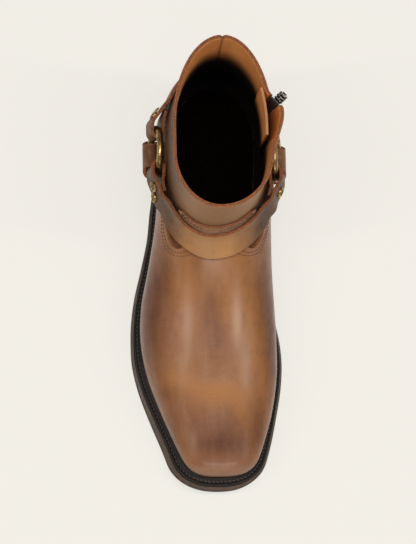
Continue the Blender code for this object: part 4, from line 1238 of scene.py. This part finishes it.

# %% [markdown]
# ### Heel, wearing lift and insole
#
# The heel is four lifts of leather, pressed, ground to a taper and waxed, with a fine line at each joint.
# A rubber wearing lift closes it. Inside lies the insole, which the eye only finds through the collar; its
# near-black colour is painted shade.

# %% The heel and the insole
def heel_ring(inset, height, columns=61):
    """A ring round the heel at an inset, flat across its front."""
    s = np.linspace(0, 1, columns)
    begin, stop = HEEL_TIP + inset, BREAST - 0.4 * inset
    y = begin + (stop - begin) * (1 - np.cos(s * math.pi / 2))
    back_tip, back_depth, back_square = SOLE_ENDS["back"]
    r = rounding(y - back_tip - inset, back_depth, back_square)
    middle = read(RIDGE, "x", y) * 0.5
    outer = middle + (read(SOLE, "outer", y) - inset - middle) * r
    inner = middle + (-read(SOLE, "inner", y) + inset - middle) * r
    z = height(y)
    return np.vstack([np.stack([outer, y, z], 1), np.stack([inner, y, z], 1)[:0:-1]])


def heel_lid(start, count):
    """Faces across a heel ring."""
    half = (count - 1) // 2
    return [(start, start + 1, start + count - 1)] + [
        (start + i, start + i + 1, start + count - i - 1, start + count - i) for i in range(1, half)]


def heel_solid(name, rings, finish, **more):
    count = len(rings[0])
    faces = hoops(len(rings), count).tolist()
    faces += [list(f) for f in heel_lid(0, count) + heel_lid((len(rings) - 1) * count, count)]
    return piece(name, np.vstack(rings), faces, [finish], angle=40, **more)


TAPER, LIFTS, HEEL_FOOT = 3.4, 4, TOP_PIECE + GAP


def up_the_heel(part, shift=0.0):
    """A height over the floor from a share of the heel's own height."""
    return lambda y: HEEL_FOOT + (sole_under(y) - GAP - HEEL_FOOT) * part + shift


# Each lift: its lower edge, its upper edge and the line between it and the next one
rings = []
for k in range(LIFTS):
    bottom, top = k / LIFTS, (k + 1) / LIFTS
    for part, shift, dent in ((bottom, 0.32, 0.0), (bottom, 0.55, -0.12), (top, -0.55, -0.12),
                              (top, -0.32, 0.0), (top, -0.12, 0.4), (top, 0.12, 0.4)):
        last = k == LIFTS - 1 and part == top and dent > 0
        if last or (k == 0 and part == bottom and shift < 0.4):
            continue
        inset = TAPER * (1 - part) + max(dent, 0) + (0.12 if dent == 0 else 0)
        rings.append(heel_ring(inset, up_the_heel(part, shift)))
rings.insert(0, heel_ring(TAPER + 0.3, up_the_heel(0.0)))
rings.append(heel_ring(0.4, up_the_heel(1.0)))
heel = heel_solid("heel_block", rings, HEEL_STACK, instead_of=["heel_block"], slot="heel_stack")
WEAR = [(TAPER + 1.0, 0.0), (TAPER + 0.4, 0.25), (TAPER + 0.2, 0.8), (TAPER + 0.1, 5.6),
        (TAPER + 0.35, TOP_PIECE)]
rings = [heel_ring(inset, lambda y, up=up: np.full_like(y, up)) for inset, up in WEAR]
lift = heel_solid("heel_top_piece", rings, HEEL_RUBBER, instead_of=["heel_top_piece"], slot="heel_rubber")
print(*size_of(heel))
print(*size_of(lift))

low_ring = ring_of(0.0, -WALL - 0.4, 81)
# Its upper edge is drawn in by a hair, so that it is soft
centre = low_ring.mean(0)
rings = [at_seat(low_ring, GAP), at_seat(low_ring, GAP + INSOLE - 0.4),
         at_seat(centre + (low_ring - centre) * 0.985, GAP + INSOLE)]
insole = stack("insole", rings, [INSOLE_PAINTED_SHADE], [0, 0], (0, 0), instead_of=["insole"], slot="insole")
print(*size_of(insole))

# %% [markdown]
# ## The zip
#
# The zip lies in its slot on the inner side: woven tape, two rows of brass teeth that bite into each
# other, a slider at the top and a pull tab that hangs from the slider's bridge. The teeth are one mesh of
# many small blocks, each with its corners taken off, because a smooth bar would never look like a zip.

# %% Tape and teeth
SLIDER_AT, SLIDER_HALF = 187.0, 4.6
TAPE_LEVEL, TAPE_THICK, TEETH_THICK = -1.3, 0.9, 1.7


def zip_grid(low, high, offsets, rows, level, flare=True):
    """Points along the zip on the inner side of the boot."""
    grid = []
    for z in np.linspace(low, high, rows):
        y = zip_y(z) + np.asarray(offsets, float)
        grid.append(np.stack([wall_x(-1, y, z, level, flare), y, np.full(len(y), z)], 1))
    return np.array(grid)


tape_grid = zip_grid(ZIP_FOOT[1] + 1, ZIP_TOP[1] - 3, np.linspace(-2.8, 2.8, 7), 80, TAPE_LEVEL)
tape = band("zip_tape", tape_grid, TAPE_THICK, [TAPE, TAPE], 0.2, instead_of=["zip_tape"], slot="zip_tape")

line = zip_grid(ZIP_FOOT[1] + 3, SLIDER_AT - SLIDER_HALF - 0.4, np.linspace(-1.7, 1.7, 3), 200, TAPE_LEVEL)
outward = grid_normals(line)
outward *= np.sign(-outward[..., :1])
middle = line[:, 1] + outward[:, 1] * (TAPE_THICK / 2 + GAP + TEETH_THICK / 2)
TOOTH = {"pitch": 1.35, "long": 2.3, "wide": 1.0, "high": 1.55, "off": 0.62}


def tooth_block(centre, axes, size, chamfer=0.22):
    """A block with its upper edges taken off: 12 points."""
    a, b, c = (np.array(s) / 2 for s in size)
    low = [(-a, -b, -c), (a, -b, -c), (a, b, -c), (-a, b, -c)]
    mid = [(x, y, c - chamfer) for x, y, _ in low]
    top = [(x * (1 - chamfer / a), y * (1 - chamfer / b), c) for x, y, _ in low]
    return [centre + axes.T @ np.array(p) for p in low + mid + top]


verts, faces = [], []
length = along(middle)
for k in range(int(length[-1] / TOOTH["pitch"])):
    s = (k + 0.5) * TOOTH["pitch"]
    at = np.array([np.interp(s, length, middle[:, i]) for i in range(3)])
    out = np.array([np.interp(s, length, outward[:, 1, i]) for i in range(3)])
    out /= np.linalg.norm(out)
    run = middle[-1] - middle[0]
    run = run - out * (run @ out)
    run /= np.linalg.norm(run)
    axes = np.array([np.cross(run, out), run, out])
    at = at + axes[0] * TOOTH["off"] * (1 if k % 2 else -1)
    start = len(verts)
    verts += tooth_block(at, axes, (TOOTH["long"], TOOTH["wide"], TOOTH["high"]))
    faces.append([start + i for i in (3, 2, 1, 0)])
    faces.append([start + i for i in (8, 9, 10, 11)])
    for a, b in ((0, 4), (4, 8)):
        for i in range(4):
            j = (i + 1) % 4
            faces.append([start + a + i, start + a + j, start + b + j, start + b + i])
teeth = piece("zip_chain", verts, faces, [BRASS], instead_of=["zip_chain"], slot="zip_metal", angle=30)
print(*size_of(tape))
print(*size_of(teeth))

# %% [markdown]
# ### Slider and pull tab
#
# The slider is a cast body with two wings and a bridge over them. The tab hangs from the bridge by its
# eye, so it is a piece of its own on its own body: it swings about the bridge.

# %% Slider and pull
here = zip_grid(SLIDER_AT - 4, SLIDER_AT + 4, [-2.0, 0.0, 2.0], 3, 0.0)
out = grid_normals(here)[1, 1]
out *= np.sign(-out[0])
up = here[2, 1] - here[0, 1]
up /= np.linalg.norm(up)
slider_axes = np.array([np.cross(up, out), up, out])
slider_place = here[1, 1]
BRIDGE_HIGH, BRIDGE_UP = 0.6 + 3.2 + 2.4, 1.6


def plate(outline, low, high, soft=0.35):
    """A flat cast shape: its outline, drawn in at top and bottom so that its edges are soft."""
    p = np.asarray(outline, float)
    middle = p.mean(0)
    reach = np.linalg.norm(p - middle, axis=1, keepdims=True)
    rings = []
    for inset, height in ((soft, low), (0.0, low + soft), (0.0, high - soft), (soft, high)):
        q = middle + (p - middle) * (1 - inset / reach)
        rings.append(np.column_stack([q, np.full(len(q), height)]))
    return np.vstack(rings), len(p), len(rings)


def cast(name, parts, place, axes, finishes, **more):
    """Joins flat cast shapes into one piece. Each part has its outline, low, high and an axis that is up."""
    verts, faces = [], []
    for outline, low, high, upright in parts:
        local, around, count = plate(outline, low, high)
        if upright:
            local = local[:, [2, 0, 1]]
        start = len(verts)
        verts += list(place + local @ axes)
        faces += (hoops(count, around) + start).tolist()
        faces.append([start + i for i in range(around)][::-1])
        faces.append([start + (count - 1) * around + i for i in range(around)])
    return piece(name, verts, faces, finishes, angle=35, **more)


def shield(wide_top, wide_low, up, down):
    """Outline of a slider's wing: broad at the top, narrow below."""
    turn = np.linspace(0, math.pi, 9)
    top = [(wide_top * math.cos(a), up - 1.2 + 1.2 * math.sin(a)) for a in turn]
    low = [(-wide_low * math.cos(a), -down + 1.0 - 1.0 * math.sin(a)) for a in turn]
    return top + low


ear = [(0.3, 3.3), (0.3, BRIDGE_HIGH - 0.6), (0.8, BRIDGE_HIGH + 0.6), (1.6, BRIDGE_HIGH + 1.0),
       (2.4, BRIDGE_HIGH + 0.6), (2.9, BRIDGE_HIGH - 0.6), (2.9, 3.3)]
turn = np.linspace(0, 2 * math.pi, 16, endpoint=False)
axle = [(BRIDGE_UP + 0.7 * math.cos(a), BRIDGE_HIGH + 0.7 * math.sin(a)) for a in turn]
slider = cast("zip_slider", [
    (shield(3.5, 2.4, 4.6, 4.6), 0.6, 1.7, False), (shield(3.5, 2.4, 4.6, 4.6), 2.7, 3.8, False),
    (shield(1.1, 0.8, 4.2, 1.5), 1.5, 2.9, False), (ear, -3.2, -2.2, True), (ear, 2.2, 3.2, True),
    (axle, -2.7, 2.7, True),
], slider_place, slider_axes, [NICKEL], instead_of=["zip_slider"], slot="zip_metal")

hinge = slider_place + np.array([0, BRIDGE_UP, BRIDGE_HIGH]) @ slider_axes
# The eye round the bridge, and the flat tab with its long slot below it
EYE_STEPS, WIRE_STEPS = 24, 8
eye = np.array([(0, 1.5 * math.cos(a), 1.5 * math.sin(a))
                for a in np.linspace(0, 2 * math.pi, EYE_STEPS, endpoint=False)])
verts, faces = [], []
for x in (-1.1, 0.0, 1.1):
    run = np.roll(eye, -1, 0) - np.roll(eye, 1, 0)
    run /= np.linalg.norm(run, axis=1, keepdims=True)
    out_of = np.cross(run, [1.0, 0, 0])
    a = np.linspace(0, 2 * math.pi, WIRE_STEPS, endpoint=False)
    wire = eye[:, None] + [x, 0, 0] + (0.4 * np.sin(a)[None, :, None] * out_of[:, None]
                                       + 0.58 * np.cos(a)[None, :, None] * np.array([1.0, 0, 0]))
    start = len(verts)
    verts += list(wire.reshape(-1, 3))
    faces += (hoops(EYE_STEPS, WIRE_STEPS, True) + start).tolist()
TAB_HALF, TAB_TOP, TAB_END = 2.7, -2.6, -19.0
round_end = [(TAB_HALF * math.cos(a), TAB_END + 2.2 + 2.2 * math.sin(a))
             for a in np.linspace(math.pi, 2 * math.pi, 13)]
round_top = [(2.0 * math.cos(a), TAB_TOP - 1.0 + 1.0 * math.sin(a)) for a in np.linspace(0, math.pi, 9)]
outer_line = np.array(round_end + [(TAB_HALF, -6.0)] + round_top + [(-TAB_HALF, -6.0)])
tab_slot = np.array([(1.25 * (1 if x > 0 else -1) * min(1, abs(x) / 1.2), y) for x, y in outer_line])
tab_slot[:, 1] = np.interp(outer_line[:, 1], [TAB_END, TAB_TOP], [TAB_END + 2.6, -9.8])
count = len(outer_line)
local = []
for line_2d, low_high in ((outer_line, (-0.75, 0.75)), (tab_slot, (0.75, -0.75))):
    for z in low_high:
        local.append(np.column_stack([line_2d, np.full(count, z)]))
start = len(verts)
verts += list(np.vstack(local))
faces += (hoops(4, count, True) + start).tolist()
pull = piece("zip_pull", hinge + np.array(verts) @ slider_axes, faces, [NICKEL], body="pull_tab",
             instead_of=["zip_pull"], slot="zip_metal", angle=40)
print(*size_of(slider))
print(*size_of(pull))

# %% [markdown]
# ### The guard behind the zip
#
# A soft flap keeps the teeth off the ankle. It is the same tan leather as the lining, sewn behind the
# back edge of the slot and loose along its front edge.

# %% The zip guard
GUARD_LOW, GUARD_HIGH, GUARD_OFF_WALL, GUARD_THICK = 82, 193, 2.0, 1.6
GUARD_ACROSS = np.linspace(-9, 24, 23)
guard_grid = zip_grid(GUARD_LOW, GUARD_HIGH, GUARD_ACROSS, 60, -WALL - GUARD_OFF_WALL, False)
guard = band("zip_guard", guard_grid, GUARD_THICK, [LINING, GUARD_EDGE], instead_of=["zip_guard"],
             slot="lining_leather")
print(*size_of(guard))

# %% [markdown]
# ## Seams
#
# The seams lie on the finished surface, so a path is drawn in side view and moved to the nearest point of
# the leather. Real thread in small strands catches the light on its own, which no bump map does from
# close by.

# %% Seams on the leather
def lay_on(obj, points):
    """Moves points in mm to the nearest place on a piece, and gives the leather's normal there."""
    graph = bpy.context.evaluated_depsgraph_get()
    tree = BVHTree.FromObject(obj, graph)
    places, normals = [], []
    for p in points:
        place, normal = tree.find_nearest(Vector(p) * MM)[:2]
        places.append(np.array(place) / MM)
        normals.append(np.array(normal))
    return np.array(places), np.array(normals)


def in_from(line, distance):
    """A line beside another in side view, moved to its right."""
    run = np.gradient(line, axis=0)
    run /= np.linalg.norm(run, axis=1, keepdims=True)
    return line + np.stack([run[:, 1], -run[:, 0]], 1) * distance


def seam_on(name, obj, side, line, level, pitch=2.6, long=1.9, thick=0.62, finish=BROWN_THREAD, **more):
    """A row of stitches along a line of the side view, on one side of a piece."""
    inside = depth_behind(LINES["toe"], line[:, 0], line[:, 1])[0] > -level + 0.05
    line = line[inside]
    points = np.stack([wall_x(side, line[:, 0], line[:, 1], level), line[:, 0], line[:, 1]], 1)
    places, normals = lay_on(obj, points)
    return stitches(name, places, normals, pitch, long, thick, finish, dip=0.28, lift=0.12, **more)


dense_edge = through(VAMP_EDGE, 24)
seams = []
for side, word in ((1, "outer"), (-1, "inner")):
    for distance, number in ((3.0, 1), (5.4, 2)):
        line = in_from(dense_edge, -distance)
        keep = (line[:, 1] > 60) & (line[:, 0] > 36)
        seams.append(seam_on(f"vamp_seam_{word}_{number}", vamp, side, line[keep], VAMP_OUT))
for offset, number in ((-6.2, 1), (6.2, 2), (8.8, 3)):
    z = np.linspace(64 if offset > 0 else 62, 190, 160)
    line = np.stack([zip_y(z) + offset, z], 1)
    seams.append(seam_on(f"zip_seam_{number}", shaft, -1, line, 0.0))
print("rows of stitches:", len(seams))

# %% [markdown]
# ## Floor, light and camera
#
# The boot stands on a pale seamless floor under soft studio light: a broad light above, a long one on
# each side that draws the pale streaks on the shoulders of the vamp, and one in front of the toe. The
# camera looks almost straight down, with the toe towards the viewer.

# %% Floor and world
PALE = (0.879, 0.855, 0.799)
# The ground is a lit sheet that swallows nearly all shadow: most of it shines, the rest takes light
SHINE = 0.80
stage_finish = blank("pale_floor", tuple(c * (1 - SHINE) for c in PALE), 1.0)
ground = stage_finish.node_tree.nodes["Principled BSDF"]
ground.inputs["Specular IOR Level"].default_value = 0.0
ground.inputs["Emission Color"].default_value = (*PALE, 1)
ground.inputs["Emission Strength"].default_value = SHINE
floor_mesh = bpy.data.meshes.new("floor")
FLOOR_HALF = 4.0
floor_mesh.from_pydata([(-FLOOR_HALF, -FLOOR_HALF, 0), (FLOOR_HALF, -FLOOR_HALF, 0),
                        (FLOOR_HALF, FLOOR_HALF, 0), (-FLOOR_HALF, FLOOR_HALF, 0)], [], [(0, 1, 2, 3)])
floor_mesh.materials.append(stage_finish)
floor = bpy.data.objects.new("floor", floor_mesh)
bpy.context.scene.collection.objects.link(floor)

world = bpy.data.worlds.new("studio")
world.use_nodes = True
world.node_tree.nodes["Background"].inputs["Color"].default_value = (1.0, 0.99, 0.97, 1)
world.node_tree.nodes["Background"].inputs["Strength"].default_value = 0.20
bpy.context.scene.world = world
bpy.context.scene.view_settings.view_transform = "Standard"
print("floor and world are set")

# %% Lights
LAMP_COLOUR = (1.0, 0.98, 0.95)


def softbox(name, place, aim, wide, long, power):
    """A soft light of a size in metres, turned to a point."""
    data = bpy.data.lights.new(name, "AREA")
    data.shape, data.size, data.size_y = "RECTANGLE", wide, long
    data.energy, data.color = power, LAMP_COLOUR
    light = bpy.data.objects.new(name, data)
    light.location = place
    light.rotation_euler = (Vector(aim) - Vector(place)).to_track_quat("-Z", "Y").to_euler()
    bpy.context.scene.collection.objects.link(light)


BOOT = (0, 0.11, 0.08)
softbox("above", (0, 0.15, 2.2), BOOT, 0.9, 0.9, 12)
softbox("left_strip", (0.62, 0.2, 1.5), BOOT, 0.09, 1.3, 9)
softbox("right_strip", (-0.62, 0.2, 1.5), BOOT, 0.09, 1.3, 9)
softbox("before_toe", (0, 1.5, 0.8), BOOT, 0.8, 0.2, 3)

# %% Camera
# The distance and AIM are in metres. The angles were fitted to the boot's outline as the eye sees it
CAMERA_DISTANCE, FOCAL_PIXELS = 1.6, 2226.17
TO_TOE, TO_OUTER, ROLL = math.radians(10.5), math.radians(3.8), math.radians(-1.2)
IMAGE_WIDE, IMAGE_HIGH = 416, 544
AIM, AIM_PIXEL = Vector((0, 0.112, 0.080)), (219.31, 267.89)
to_camera = Vector((math.sin(TO_OUTER), math.sin(TO_TOE), 0))
to_camera.z = math.sqrt(1 - to_camera.length_squared)
image_up = Vector((math.sin(ROLL), -math.cos(ROLL), 0))
image_up = (image_up - to_camera * image_up.dot(to_camera)).normalized()
image_right = (-to_camera).cross(image_up)
camera_data = bpy.data.cameras.new("camera")
camera_data.lens = camera_data.sensor_width * FOCAL_PIXELS / IMAGE_HIGH
camera_data.shift_x = -(AIM_PIXEL[0] - IMAGE_WIDE / 2) / IMAGE_HIGH
camera_data.shift_y = (AIM_PIXEL[1] - IMAGE_HIGH / 2) / IMAGE_HIGH
camera = bpy.data.objects.new("camera", camera_data)
bpy.context.scene.collection.objects.link(camera)
turned_to = Matrix((image_right, image_up, to_camera)).transposed().to_4x4()
camera.matrix_world = Matrix.Translation(AIM + to_camera * CAMERA_DISTANCE) @ turned_to
bpy.context.scene.camera = camera
print("lens", round(camera_data.lens, 1), "mm")
